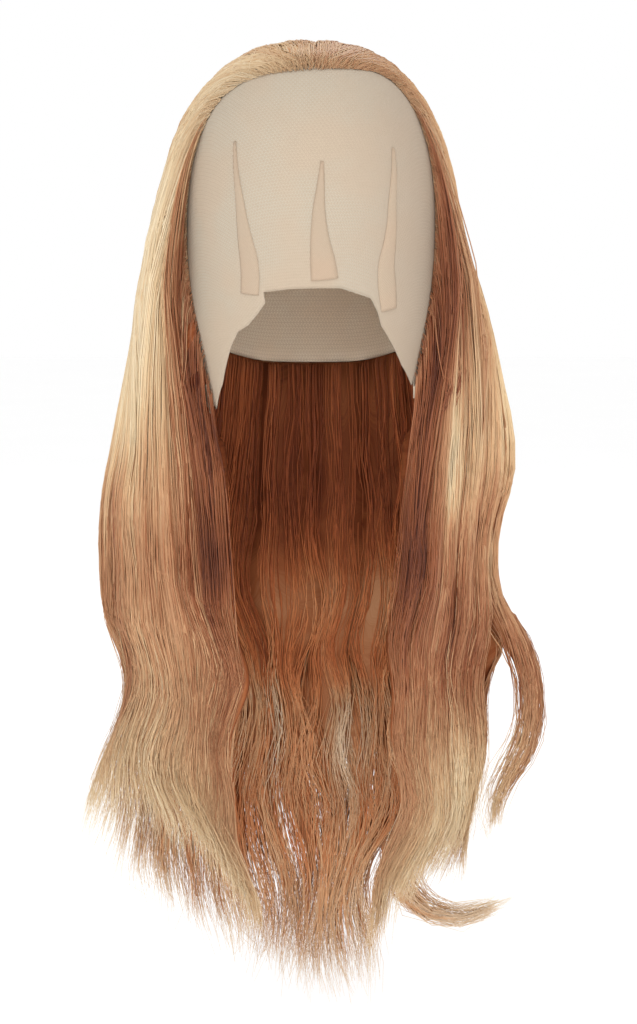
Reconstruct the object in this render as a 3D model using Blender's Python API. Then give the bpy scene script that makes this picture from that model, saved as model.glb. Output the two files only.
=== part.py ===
"""Lace front wig: a cap, a lace front with three tucks, and long hair in locks fused into sheets."""

import math

import bpy
import numpy as np

MM = 0.001

# Head form, the inside surface of the cap and the lace
HEAD_CENTRE = np.array((0.0, 0.0, -0.105))
HEAD_HALF_WIDTH = 0.077
HEAD_FRONT = 0.095
HEAD_BACK = 0.101
HEAD_UP = 0.105
HEAD_DOWN = 0.180
HEAD_POWER = 2.4

# Walls and gaps
CAP_THICK = 1.5 * MM
LACE_THICK = 1.0 * MM
TUCK_THICK = 0.9 * MM
TUCK_GAP = 0.55 * MM
SEAM_GAP = 0.4 * MM
SEAM_BACK = 15.0 * MM
SEAM_COLUMNS = 33
HAIR_CLEAR = 2.5 * MM
HAIR_ROOT_CLEAR = 1.7 * MM
ROOT_THICK = 1.6 * MM
ROOT_RAMP = 15.0 * MM
EAR_RAMP = 42.0 * MM
NODE_GAP = 0.5 * MM

# Hair sheets: u runs from the left ear (-1) over the middle (0) to the right ear (1)
LOCKS = 28
HEAD_ROWS = 18
FALL_ROWS = 6
TIP_ROWS = 11
JOIN_Z = -0.262
FOUNDATION_SAMPLES = 60
PATH_SAMPLES = 80
SMOOTHING = 36

# Hairline: u, turn from the front in degrees, height from the head centre in degrees
HAIRLINE = np.array((
    (-1.00, -46.0, -53.0),
    (-0.94, -48.0, -42.0),
    (-0.86, -54.0, -30.0),
    (-0.76, -59.5, -15.0),
    (-0.66, -60.5, 1.0),
    (-0.56, -58.0, 16.0),
    (-0.46, -55.0, 30.0),
    (-0.36, -51.0, 41.0),
    (-0.24, -41.0, 49.5),
    (-0.12, -21.0, 54.5),
    (0.00, 2.0, 56.5),
    (0.12, 24.0, 57.0),
    (0.24, 46.0, 56.0),
    (0.36, 58.0, 48.0),
    (0.46, 61.0, 35.0),
    (0.56, 61.0, 20.0),
    (0.66, 62.0, 4.0),
    (0.76, 61.0, -12.0),
    (0.86, 56.0, -29.0),
    (0.94, 51.0, -40.0),
    (1.00, 48.5, -48.5),
))

# Cut lower edge of the lace: u, turn, height
CUT_EDGE = np.array((
    (-1.00, -47.0, -55.0),
    (-0.90, -38.0, -48.0),
    (-0.80, -31.0, -38.5),
    (-0.70, -27.0, -34.0),
    (-0.60, -22.5, -32.0),
    (-0.50, -18.5, -28.5),
    (-0.42, -15.8, -25.5),
    (-0.36, -16.4, -22.3),
    (-0.20, -7.5, -21.4),
    (0.00, 1.0, -21.2),
    (0.20, 10.5, -21.1),
    (0.38, 21.5, -24.2),
    (0.50, 24.5, -28.4),
    (0.60, 26.1, -32.2),
    (0.72, 31.2, -37.2),
    (0.86, 38.5, -43.8),
    (1.00, 48.5, -50.0),
))

# Where the hair leaves the head: u, turn from the back in degrees, height
LEAVING = np.array((
    (-1.00, -126.0, -57.0),
    (-0.86, -112.0, -46.0),
    (-0.70, -96.0, -40.0),
    (-0.55, -79.0, -39.0),
    (-0.40, -60.0, -40.0),
    (-0.20, -31.0, -43.0),
    (0.00, 0.0, -44.0),
    (0.20, 31.0, -43.0),
    (0.40, 60.0, -40.0),
    (0.55, 79.0, -39.0),
    (0.70, 96.0, -40.0),
    (0.86, 111.0, -46.0),
    (1.00, 125.0, -54.0),
))

# The way over the head between the two: u, turn from the back, height
OVER = np.array((
    (-1.00, -130.0, -55.0),
    (-0.86, -119.0, -38.0),
    (-0.70, -108.0, -14.0),
    (-0.55, -97.0, 10.0),
    (-0.40, -80.0, 32.0),
    (-0.20, -50.0, 52.0),
    (0.00, 0.0, 62.0),
    (0.20, 50.0, 52.0),
    (0.40, 80.0, 32.0),
    (0.55, 97.0, 10.0),
    (0.70, 108.0, -14.0),
    (0.86, 118.0, -37.0),
    (1.00, 128.0, -51.0),
))
OVER_PULL = 1.3

# Stand-off of the hair's outer face from the head in mm: height z, left side, right side, middle
STAND_OFF = np.array((
    (-0.260, 66.0, 69.0, 22.0),
    (-0.230, 57.5, 61.0, 21.0),
    (-0.210, 46.5, 53.0, 19.0),
    (-0.190, 38.5, 45.0, 17.0),
    (-0.170, 33.5, 37.0, 16.0),
    (-0.150, 30.5, 29.0, 15.0),
    (-0.130, 25.5, 21.5, 14.0),
    (-0.110, 21.5, 15.0, 13.0),
    (-0.080, 14.0, 11.0, 11.0),
    (-0.050, 11.0, 8.5, 9.5),
    (-0.025, 7.6, 6.8, 7.2),
    (0.000, 5.6, 6.0, 5.6),
))

# Hanging hair in plan, in mm: z, then left inner x y, left reach x y, right inner x y, right reach x y, back y
LEVELS = np.array((
    (-0.205, -56, -50, -111, 2, 60, -50, 115, 2, 114),
    (-0.232, -55, -48, -118, 4, 59, -48, 123, 4, 113),
    (-0.260, -53, -47, -125, 6, 58, -47, 123, 6, 112),
    (-0.288, -52, -46, -128, 8, 57, -46, 115, 8, 111),
    (-0.315, -51, -45, -131, 10, 56, -45, 115, 9, 109),
    (-0.345, -49, -44, -127, 10, 54, -44, 117, 10, 106),
    (-0.372, -47, -43, -113, 9, 52, -43, 116, 10, 103),
    (-0.402, -45, -41, -104, 7, 51, -40, 112, 8, 98),
    (-0.430, -43, -41, -103, 4, 49, -39, 108, 5, 90),
    (-0.470, -40, -39, -103, 2, 46, -37, 102, 2, 82),
    (-0.510, -37, -37, -101, 0, 43, -35, 93, 0, 74),
    (-0.560, -33, -34, -93, 0, 39, -32, 81, 0, 66),
    (-0.615, -29, -31, -80, 0, 35, -29, 66, 0, 60),
), dtype=float)
ROUND_U = np.array((-1.0, -0.8, -0.6, -0.44, -0.28, 0.0, 0.28, 0.44, 0.6, 0.8, 1.0))

# One row a lock, left to right: tip z in mm, flick out mm, sweep mm, crest mm, early split rows
LOCK_TABLE = (
    (-545, -4, 2, 3.0, 1),
    (-525, 2, -3, 2.4, 2),
    (-503, 10, -4, 3.2, 0),
    (-480, 32, -4, 2.8, 1),
    (-464, 44, -2, 3.4, 2),
    (-480, 38, 2, 3.0, 0),
    (-506, 26, 2, 2.6, 1),
    (-533, 17, 0, 3.2, 2),
    (-552, 13, -2, 2.6, 0),
    (-571, 9, -3, 3.0, 1),
    (-586, 6, -4, 2.6, 2),
    (-596, 4, -2, 3.2, 1),
    (-603, 2, 2, 2.8, 0),
    (-608, 0, 5, 3.0, 2),
    (-612, 0, 7, 2.6, 1),
    (-612, 0, 6, 3.2, 2),
    (-604, 2, 5, 2.8, 0),
    (-588, 0, 0, 2.6, 1),
    (-548, 2, 0, 3.0, 2),
    (-538, 3, -1, 2.6, 0),
    (-524, 3, 0, 3.2, 1),
    (-512, 2, 2, 2.8, 2),
    (-470, 0, 0, 3.0, 2),
    (-496, 2, -2, 2.6, 1),
    (-508, 3, -3, 3.2, 0),
    (-522, 2, 2, 2.6, 2),
    (-534, 0, 3, 2.8, 1),
    (-552, -4, -2, 3.0, 1),
)

# Two locks leave their sheet: points in mm from there to the tip, and the way their flat side faces
STRAY_LOCKS = {
    17: (
        ((64, 89, -440), (60, 83, -475), (57, 79, -508), (58, 77, -535), (66, 76, -554), (84, 75, -565),
         (105, 74, -567), (122, 73, -560)),
        (0.0, 1.0, 0.0),
        8.0,
    ),
    22: (
        ((127, 6, -358), (135, 2, -377), (139, 0, -397), (139, -1, -415), (135, 0, -433), (126, 2, -450),
         (118, 3, -464), (115, 4, -483)),
        (0.50, -0.86, 0.0),
        8.0,
    ),
}

# Tucks: turn, height, half width in mm, top to bottom
TUCKS = {
    "tuck_left": (
        (-29.0, 28.0, 0.9),
        (-27.0, 18.0, 1.6),
        (-25.2, 9.0, 2.6),
        (-24.0, 1.0, 3.6),
        (-22.8, -6.0, 4.8),
        (-21.6, -12.0, 5.6),
        (-21.2, -18.0, 5.8),
        (-21.6, -23.0, 5.6),
    ),
    "tuck_centre": (
        (4.2, 21.0, 0.9),
        (3.6, 13.0, 2.2),
        (3.0, 6.0, 3.4),
        (3.0, 0.0, 4.4),
        (3.4, -6.0, 5.6),
        (4.2, -12.0, 7.0),
        (5.0, -18.5, 7.8),
    ),
    "tuck_right": (
        (32.0, 26.0, 0.9),
        (31.0, 17.0, 2.0),
        (29.8, 8.0, 2.8),
        (29.4, 0.0, 3.4),
        (28.6, -7.0, 4.4),
        (27.4, -14.0, 5.6),
        (28.0, -21.0, 6.2),
        (29.2, -28.0, 5.4),
    ),
}

# Inner curtain under the back edge of the cap: tip z in mm for each of its locks
NAPE_TIPS = (-430, -462, -490, -508, -516, -498, -476, -440)
NAPE_SPAN = 0.5
NAPE_ROWS = 12
NAPE_THICK = 4.0 * MM
NAPE_INSET = 5.0 * MM

COLOURS = {
    "cap": (0.62, 0.50, 0.38, 1.0),
    "lace": (0.66, 0.55, 0.45, 1.0),
    "tuck": (0.68, 0.47, 0.36, 1.0),
    "hair_light": (0.52, 0.33, 0.17, 1.0),
    "hair_mid": (0.36, 0.17, 0.08, 1.0),
    "hair_dark": (0.20, 0.08, 0.04, 1.0),
}


def clear_scene():
    for obj in list(bpy.data.objects):
        bpy.data.objects.remove(obj, do_unlink=True)


def spline(x, xs, ys):
    """Smooth curve through the points (xs, ys), read at x."""
    xs = np.asarray(xs, float)
    ys = np.asarray(ys, float)
    if ys.ndim == 1:
        ys = ys[:, None]
        flat = True
    else:
        flat = False
    x = np.clip(np.asarray(x, float), xs[0], xs[-1])
    step = np.diff(xs)
    slope = np.diff(ys, axis=0) / step[:, None]
    tangent = np.empty_like(ys)
    tangent[0] = slope[0]
    tangent[-1] = slope[-1]
    before = step[:-1, None]
    after = step[1:, None]
    tangent[1:-1] = (slope[:-1] * after + slope[1:] * before) / (before + after)
    i = np.clip(np.searchsorted(xs, x, side="right") - 1, 0, len(xs) - 2)
    t = ((x - xs[i]) / step[i])[..., None]
    h = step[i][..., None]
    value = (
        (1 + 2 * t) * (1 - t) ** 2 * ys[i]
        + t * (1 - t) ** 2 * h * tangent[i]
        + t * t * (3 - 2 * t) * ys[i + 1]
        + t * t * (t - 1) * h * tangent[i + 1]
    )
    return value[..., 0] if flat else value


def unit(v):
    return v / np.linalg.norm(v, axis=-1, keepdims=True)


def from_front(turn, height):
    turn = np.radians(turn)
    height = np.radians(height)
    return np.stack((np.sin(turn) * np.cos(height), -np.cos(turn) * np.cos(height), np.sin(height)), -1)


def from_back(turn, height):
    turn = np.radians(turn)
    height = np.radians(height)
    return np.stack((np.sin(turn) * np.cos(height), np.cos(turn) * np.cos(height), np.sin(height)), -1)


def root_way(u):
    angles = spline(u, HAIRLINE[:, 0], HAIRLINE[:, 1:])
    return from_front(angles[..., 0], angles[..., 1])


def cut_way(u):
    angles = np.stack([np.interp(u, CUT_EDGE[:, 0], CUT_EDGE[:, k]) for k in (1, 2)], -1)
    return from_front(angles[..., 0], angles[..., 1])


def leaving_way(u):
    angles = spline(u, LEAVING[:, 0], LEAVING[:, 1:])
    return from_back(angles[..., 0], angles[..., 1])


def over_way(u):
    angles = spline(u, OVER[:, 0], OVER[:, 1:])
    return from_back(angles[..., 0], angles[..., 1])


def swept(u, t):
    """The directions a fraction t of the way from the hairline over the head; u and t of one shape."""
    a, m, b = root_way(u), over_way(u), leaving_way(u)
    t = np.asarray(t)[..., None]
    return unit((1 - t) ** 2 * a + 2 * OVER_PULL * t * (1 - t) * m + t ** 2 * b)


def turned(a, b, t):
    """The directions a fraction t of the way from a to b, along the great circle."""
    angle = np.arccos(np.clip((a * b).sum(-1, keepdims=True), -1.0, 1.0))
    t = np.asarray(t)[..., None]
    return unit(np.sin((1 - t) * angle) * a + np.sin(t * angle) * b)


def on_head(way, lift):
    """Points that stand off the head form by lift, square to its surface."""
    half = np.stack((
        np.full(way.shape[:-1], HEAD_HALF_WIDTH),
        np.where(way[..., 1] < 0, HEAD_FRONT, HEAD_BACK),
        np.where(way[..., 2] > 0, HEAD_UP, HEAD_DOWN),
    ), -1)
    scaled = np.abs(way / half)
    radius = (scaled ** HEAD_POWER).sum(-1) ** (-1 / HEAD_POWER)
    square = unit(np.sign(way) * scaled ** (HEAD_POWER - 1) / half)
    return HEAD_CENTRE + way * radius[..., None] + square * np.asarray(lift)[..., None]


def lengths_along(points):
    steps = np.linalg.norm(np.diff(points, axis=-2), axis=-1)
    start = np.zeros(steps.shape[:-1] + (1,))
    return np.concatenate((start, np.cumsum(steps, axis=-1)), -1)


def steps_evenly(points, fractions):
    """Where these fractions of the length of each polyline lie, counted in its points."""
    return np.stack([np.interp(fractions * run[-1], run, np.arange(len(run))) for run in lengths_along(points)])


def read_lines(points, steps):
    i = np.minimum(steps.astype(int), points.shape[1] - 2)
    part = (steps - i)[..., None]
    line = np.arange(len(points))[:, None]
    return points[line, i] * (1 - part) + points[line, i + 1] * part


def evenly(points, fractions):
    return read_lines(points, steps_evenly(points, fractions))


def round_section(z):
    """Plan of the hanging hair at height z: one point for each value of ROUND_U, in metres."""
    lix, liy, lx, ly, rix, riy, rx, ry, by = spline(z, LEVELS[::-1, 0], LEVELS[::-1, 1:])
    return MM * np.array((
        (lix, liy),
        ((lix + lx) / 2, (liy + ly) / 2 - 6),
        (lx, ly),
        (0.93 * lx, ly + 0.48 * (by - ly)),
        (0.66 * lx, by - 0.17 * (by - ly)),
        (0, by),
        (0.66 * rx, by - 0.17 * (by - ry)),
        (0.93 * rx, ry + 0.48 * (by - ry)),
        (rx, ry),
        ((rix + rx) / 2, (riy + ry) / 2 - 6),
        (rix, riy),
    ))


GRID_U = np.linspace(-1.0, 1.0, 161)
GRID_Z = np.linspace(-0.205, -0.615, 83)


def curtain_grid():
    plan = np.stack([spline(GRID_U, ROUND_U, round_section(z)) for z in GRID_Z], 1)
    along = np.gradient(plan, axis=0)
    out = unit(np.stack((-along[..., 1], along[..., 0]), -1))
    return plan, out


PLAN, PLAN_OUT = curtain_grid()


def read_grid(grid, u, z):
    x = np.clip((np.asarray(u) + 1) / 2 * (len(GRID_U) - 1), 0, len(GRID_U) - 1.001)
    y = np.clip((np.asarray(z) - GRID_Z[0]) / (GRID_Z[-1] - GRID_Z[0]) * (len(GRID_Z) - 1), 0, len(GRID_Z) - 1.001)
    i = x.astype(int)
    j = y.astype(int)
    a = (x - i)[..., None]
    b = (y - j)[..., None]
    top = grid[i, j] * (1 - a) + grid[i + 1, j] * a
    low = grid[i, j + 1] * (1 - a) + grid[i + 1, j + 1] * a
    return top * (1 - b) + low * b


def curtain(u, z, inset):
    """Points of the hanging hair, inset from its outer face, and the way out of it there."""
    u, z, inset = np.broadcast_arrays(np.asarray(u, float), z, inset)
    way = unit(read_grid(PLAN_OUT, u, z))
    wave = 2.2 * MM * np.sin(z * 2 * math.pi / 0.085 + 5 * u) * np.clip((-0.24 - z) / 0.1, 0, 1)
    plan = read_grid(PLAN, u, z) + way * (wave - inset)[..., None]
    return np.concatenate((plan, z[..., None]), -1), np.concatenate((way, 0 * z[..., None]), -1)


def fall_thickness(u, z):
    """Wall of the hanging hair: thicker at the top, thinner at its front edges."""
    base = MM * np.interp(-z, (0.205, 0.262, 0.33, 0.42, 0.6), (15.0, 13.0, 9.5, 6.5, 3.5))
    edge = np.clip((1 - np.abs(u)) / 0.12, 0, 1)
    return base * (0.5 + 0.5 * edge)


def head_paths(u):
    """Outer and inner paths of the hair from the hairline to JOIN_Z, one for each u."""
    t = np.linspace(0, 1, FOUNDATION_SAMPLES)
    way = swept(np.broadcast_to(u[:, None], (len(u), len(t))), np.broadcast_to(t, (len(u), len(t))))
    bare = on_head(way, np.zeros(way.shape[:-1]))
    run = lengths_along(bare)
    side = way[..., 0] ** 2 / (way[..., 0] ** 2 + way[..., 1] ** 2 + 0.15 * np.clip(way[..., 2], 0, 1) ** 2)
    off = MM * spline(bare[..., 2], STAND_OFF[:, 0], STAND_OFF[:, 1:])
    lift = np.where(way[..., 0] < 0, off[..., 0], off[..., 1]) * side + off[..., 2] * (1 - side)
    dip = ((run[:, -1:] + 0.06) / HEAD_ROWS) ** 2 + 0.018 ** 2
    clear = HAIR_ROOT_CLEAR + (HAIR_CLEAR + dip / 0.62 - HAIR_ROOT_CLEAR) * np.clip(run / 0.012, 0, 1)
    near_ear = np.clip((np.abs(u) - 0.58) / 0.32, 0, 1)[:, None]
    ramp = ROOT_RAMP + (EAR_RAMP - ROOT_RAMP) * near_ear * near_ear * (3 - 2 * near_ear)
    lift = clear + ROOT_THICK + np.maximum(lift - clear - ROOT_THICK, 0) * (1 - np.exp(-run / ramp))
    z = np.linspace(-0.236, JOIN_Z, 6)
    wall = fall_thickness(u[:, None], z[None, :])
    outer = np.concatenate((on_head(way, lift), curtain(u[:, None], z[None, :], 0 * wall)[0]), 1)
    inner = np.concatenate((on_head(way, clear), curtain(u[:, None], z[None, :], wall)[0]), 1)
    steps = steps_evenly(outer, np.linspace(0, 1, PATH_SAMPLES))
    outer = read_lines(outer, steps)
    inner = read_lines(inner, steps)
    for _ in range(SMOOTHING):
        outer[:, 1:-1] += 0.5 * ((outer[:, :-2] + outer[:, 2:]) / 2 - outer[:, 1:-1])
    return outer, inner


def fall_end(u):
    """Height where every lock has left its neighbours."""
    return np.minimum(-0.43 + 0.25 * u * u, -0.338)


def sheet_rows(u):
    """Outer and inner points of the joined part of the sheet: (len(u), rows, 3)."""
    outer, inner = head_paths(u)
    steps = steps_evenly(outer, np.linspace(0, 1, HEAD_ROWS + 1))
    outer = read_lines(outer, steps)
    inner = read_lines(inner, steps)
    z = JOIN_Z + (fall_end(u)[:, None] - JOIN_Z) * np.linspace(0, 1, FALL_ROWS + 1)[None, 1:]
    wall = fall_thickness(u[:, None], z)
    outer = np.concatenate((outer, curtain(u[:, None], z, 0 * z)[0]), 1)
    inner = np.concatenate((inner, curtain(u[:, None], z, wall)[0]), 1)
    return outer, inner


class Builder:
    """Collects the corners and faces of one closed solid."""

    def __init__(self):
        self.points = []
        self.keys = {}
        self.faces = []

    def corner(self, key, place):
        if key not in self.keys:
            self.keys[key] = len(self.points)
            self.points.append(tuple(float(c) for c in place))
        return self.keys[key]

    def face(self, *corners):
        self.faces.append(corners)

    def finish(self, name, colour, round_sides=True):
        mesh = bpy.data.meshes.new(name)
        mesh.from_pydata(self.points, [], self.faces)
        mesh.validate()
        mesh.update()
        obj = bpy.data.objects.new(name, mesh)
        bpy.context.scene.collection.objects.link(obj)
        mesh.materials.append(material(name, COLOURS[colour]))
        if round_sides:
            mesh.shade_smooth()
        return obj


def material(name, colour):
    made = bpy.data.materials.new(name)
    made.use_nodes = True
    shader = made.node_tree.nodes["Principled BSDF"]
    shader.inputs["Base Color"].default_value = colour
    shader.inputs["Roughness"].default_value = 0.6
    made.diffuse_color = colour
    return made


def shell(name, inner, outer, colour):
    """A closed wall between two grids of points, rows across and columns along u."""
    body = Builder()
    rows, columns = outer.shape[:2]
    ids = [
        [[body.corner((side, r, c), grid[r, c]) for c in range(columns)] for r in range(rows)]
        for side, grid in enumerate((outer, inner))
    ]
    top, low = ids
    for r in range(rows - 1):
        for c in range(columns - 1):
            body.face(top[r][c], top[r][c + 1], top[r + 1][c + 1], top[r + 1][c])
            body.face(low[r][c], low[r + 1][c], low[r + 1][c + 1], low[r][c + 1])
    rim = [(0, c) for c in range(columns)]
    rim += [(r, columns - 1) for r in range(1, rows)]
    rim += [(rows - 1, c) for c in range(columns - 2, -1, -1)]
    rim += [(r, 0) for r in range(rows - 2, 0, -1)]
    for (r0, c0), (r1, c1) in zip(rim, rim[1:] + rim[:1]):
        body.face(top[r0][c0], low[r0][c0], low[r1][c1], top[r1][c1])
    return body.finish(name, colour)


def strip_rows(number, table, u_mid, half, rows):
    """Middle, way out, way along u and half width of one free lock, one row after another."""
    start = fall_end(u_mid)
    tip = table[0] * MM
    t = np.linspace(0, 1, rows + 1)[1:]
    z = start + (tip - start) * t
    middle, out = curtain(np.full(rows, u_mid), z, np.zeros(rows))
    left = curtain(np.full(rows, u_mid - half), z, np.zeros(rows))[0]
    right = curtain(np.full(rows, u_mid + half), z, np.zeros(rows))[0]
    along = unit(right - left)
    width = np.linalg.norm(right - left, axis=-1) / 2
    middle = middle + out * (table[1] * MM * t ** 1.8)[:, None] + along * (table[2] * MM * t ** 2)[:, None]
    if number in STRAY_LOCKS:
        points, facing, stray_width = STRAY_LOCKS[number]
        first = curtain(np.array([u_mid]), np.array([start]), np.array([0.0]))[0]
        course = np.concatenate((first, MM * np.array(points, float)))
        run = lengths_along(course[None])[0]
        middle = spline(t, run / run[-1], course)
        blend = np.clip(t / 0.3, 0, 1)[:, None]
        out = unit(out * (1 - blend) + np.array(facing) * blend)
        heading = unit(np.gradient(np.concatenate((first, middle)), axis=0)[1:])
        side = unit(np.cross(heading, out))
        side *= np.sign((side[0] * along[0]).sum())
        along = side
        out = unit(np.cross(along, heading)) * np.sign((np.cross(along, heading) * out).sum(-1, keepdims=True))
        width = width * (1 - blend[:, 0]) + stray_width * MM * blend[:, 0]
    return middle, out, along, width, t


def hair_sheet(name, first, last, colour):
    """Locks first to last, joined above and free below, as one closed solid."""
    body = Builder()
    step = 2.0 / LOCKS
    edges = -1 + step * np.arange(first, last + 1)
    middles = (edges[:-1] + edges[1:]) / 2
    shift = NODE_GAP / 0.019 * step
    edges_in = edges.copy()
    if first > 0:
        edges_in[0] += shift
    if last < LOCKS:
        edges_in[-1] -= shift
    mixed = np.empty(2 * len(middles) + 1)
    mixed[0::2] = edges_in
    mixed[1::2] = middles
    outer, inner = sheet_rows(mixed)
    way = unit(np.cross(np.gradient(outer, axis=0), np.gradient(outer, axis=1)))
    joined = HEAD_ROWS + FALL_ROWS
    total = joined + TIP_ROWS
    splits = [0]
    for number in range(first + 1, last):
        splits.append(joined - LOCK_TABLE[number][4])
    splits.append(0)
    for k, number in enumerate(range(first, last)):
        table = LOCK_TABLE[number]
        crest = table[3] * MM
        half = step / 2
        rows = []
        for r in range(joined + 1):
            rise = crest * min(1.0, r / 3.0)
            sink = 0.8 * MM * min(1.0, r / 3.0)
            j = 2 * k
            left = outer[j, r] - way[j, r] * sink
            mid = outer[j + 1, r] + way[j + 1, r] * rise
            right = outer[j + 2, r] - way[j + 2, r] * sink
            low_left, low_right = inner[j, r], inner[j + 2, r]
            across = unit(right - left)
            span = np.linalg.norm(right - left)
            for side in (0, 1):
                split = splits[k + side]
                if split == 0 or r <= split:
                    continue
                trim = 0.2 * MM + 0.02 * span * (r - split)
                if side == 0:
                    left, low_left = left + across * trim, low_left + across * trim
                else:
                    right, low_right = right - across * trim, low_right - across * trim
            rows.append((left, mid, right, low_left, low_right))
        end_left, _, end_right, _, _ = rows[-1]
        end_wall = np.linalg.norm(outer[2 * k + 1, joined] - inner[2 * k + 1, joined])
        middle, out, along, width, t = strip_rows(number, table, middles[k], half, TIP_ROWS)
        end_width = np.linalg.norm(end_right - end_left) / 2
        for i in range(TIP_ROWS):
            wide = end_width + (width[i] - end_width) * min(1.0, 3 * t[i])
            wide = max(wide * (0.96 - 0.82 * t[i] ** 3.5) - 0.35 * MM, 1.0 * MM)
            wall = end_wall + (1.8 * MM - end_wall) * t[i]
            sink = 0.8 * MM * (1 - t[i])
            rise = crest * (1 - 0.75 * t[i])
            base = middle[i]
            left = base - along[i] * wide - out[i] * sink
            right = base + along[i] * wide - out[i] * sink
            low_wide = max(wide - 0.22 * wall, 0.8 * MM)
            low = base - out[i] * (sink + wall)
            rows.append((
                left,
                base + out[i] * rise,
                right,
                low - along[i] * low_wide,
                low + along[i] * low_wide,
            ))
        ids = []
        for r, (left, mid, right, low_left, low_right) in enumerate(rows):
            keys = []
            for side in (0, 1):
                split = splits[k + side]
                outside = (side == 0 and k == 0) or (side == 1 and k == last - first - 1)
                shared = not outside and r <= split
                keys.append((r, k + side, "joined" if shared else ("left", "right")[side]))
            ids.append((
                body.corner((keys[0], "o"), left),
                body.corner((r, k, "mid"), mid),
                body.corner((keys[1], "o"), right),
                body.corner((keys[0], "i"), low_left),
                body.corner((keys[1], "i"), low_right),
            ))
        for r in range(total):
            a, m, b, i, j = ids[r]
            a2, m2, b2, i2, j2 = ids[r + 1]
            body.face(a, m, m2, a2)
            body.face(m, b, b2, m2)
            body.face(i, i2, j2, j)
            for side in (0, 1):
                split = splits[k + side]
                outside = (side == 0 and k == 0) or (side == 1 and k == last - first - 1)
                if not outside and r < split:
                    continue
                if side == 0:
                    body.face(a, a2, i2, i)
                else:
                    body.face(b, j, j2, b2)
        a, m, b, i, j = ids[0]
        body.face(a, i, j, b, m)
        a, m, b, i, j = ids[-1]
        body.face(m, b, j, i, a)
    return body.finish(name, colour)


def nape_sheet():
    """The inner curtain: locks that hang from the back edge of the cap, inside the outer hair."""
    body = Builder()
    count = len(NAPE_TIPS)
    step = 2 * NAPE_SPAN / count
    joined = 5
    for k, tip in enumerate(NAPE_TIPS):
        ids = []
        u_mid = -NAPE_SPAN + step * (k + 0.5)
        for r in range(NAPE_ROWS + 1):
            free = max(0.0, (r - joined) / (NAPE_ROWS - joined))
            keys = []
            corners = []
            for side in (-1, 1):
                outside = (k == 0 and side < 0) or (k == count - 1 and side > 0)
                shared = not outside and r <= joined
                keys.append((r, k + (side > 0), "joined" if shared else side))
                u = u_mid + side * step / 2 * (1 - 0.88 * free ** 1.1)
                corners.append(nape_point(u, r, joined, tip * MM))
            mid = nape_point(u_mid, r, joined, tip * MM)
            rise = 1.2 * MM * min(1.0, r / 2)
            ids.append((
                body.corner((keys[0], "o"), corners[0][0]),
                body.corner((r, k, "mid"), mid[0] + mid[2] * rise),
                body.corner((keys[1], "o"), corners[1][0]),
                body.corner((keys[0], "i"), corners[0][1]),
                body.corner((keys[1], "i"), corners[1][1]),
            ))
        for r in range(NAPE_ROWS):
            a, m, b, i, j = ids[r]
            a2, m2, b2, i2, j2 = ids[r + 1]
            body.face(a, m, m2, a2)
            body.face(m, b, b2, m2)
            body.face(i, i2, j2, j)
            if k == 0 or r >= joined:
                body.face(a, a2, i2, i)
            if k == count - 1 or r >= joined:
                body.face(b, j, j2, b2)
        a, m, b, i, j = ids[0]
        body.face(a, i, j, b, m)
        a, m, b, i, j = ids[-1]
        body.face(m, b, j, i, a)
    return body.finish("hair_nape", "hair_dark")


def nape_point(u, r, joined, tip):
    """Outer point, inner point and way out of the inner curtain at row r."""
    way = leaving_way(np.array([u]))
    below = unit(way + np.array((0.0, 0.0, -0.012)))
    top_out = on_head(below, np.array([1.6 * MM]))[0]
    top_in = on_head(below, np.array([0.1 * MM]))[0]
    first = -0.275
    if r == 0:
        return top_out, top_in, unit(top_out - top_in)
    common = -0.38
    if r <= joined:
        z = first + (common - first) * (r - 1) / (joined - 1)
    else:
        z = common + (tip - common) * (r - joined) / (NAPE_ROWS - joined)
    wall = NAPE_THICK * (1 - 0.5 * max(0, r - joined) / (NAPE_ROWS - joined))
    inset = fall_thickness(np.array([u]), np.array([z])) + NAPE_INSET
    place, out = curtain(np.array([u]), np.array([z]), inset)
    return place[0], place[0] - out[0] * wall, out[0]


def seam_fraction(u):
    """How far along its path from hairline to nape the cap's front edge lies."""
    way = swept(u[:, None].repeat(60, 1), np.linspace(0, 1, 60)[None].repeat(len(u), 0))
    length = lengths_along(on_head(way, np.zeros(way.shape[:-1])))[:, -1]
    return np.minimum(0.45, SEAM_BACK / length), length


def build_cap():
    u = np.linspace(-1, 1, SEAM_COLUMNS)
    seam, length = seam_fraction(u)
    rows = 10
    t = seam + (1 - seam) * np.linspace(0, 1, rows)[:, None]
    way = swept(np.broadcast_to(u, t.shape), t)
    return shell("cap", on_head(way, np.zeros(t.shape)), on_head(way, np.full(t.shape, CAP_THICK)), "cap")


def build_lace():
    u = np.linspace(-1, 1, SEAM_COLUMNS)
    seam, length = seam_fraction(u)
    start = seam - SEAM_GAP / length
    behind = swept(u[:, None].repeat(12, 1), start[:, None] * np.linspace(1, 0, 12)[None])
    ahead = turned(root_way(u)[:, None], cut_way(u)[:, None], np.linspace(0, 1, 40)[None, 1:].repeat(len(u), 0))
    way = evenly(np.concatenate((behind, ahead), 1), np.linspace(0, 1, 12))
    way = unit(way).transpose(1, 0, 2)[::-1]
    flat = np.zeros(way.shape[:-1])
    return shell("lace_front", on_head(way, flat), on_head(way, flat + LACE_THICK), "lace")


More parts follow.
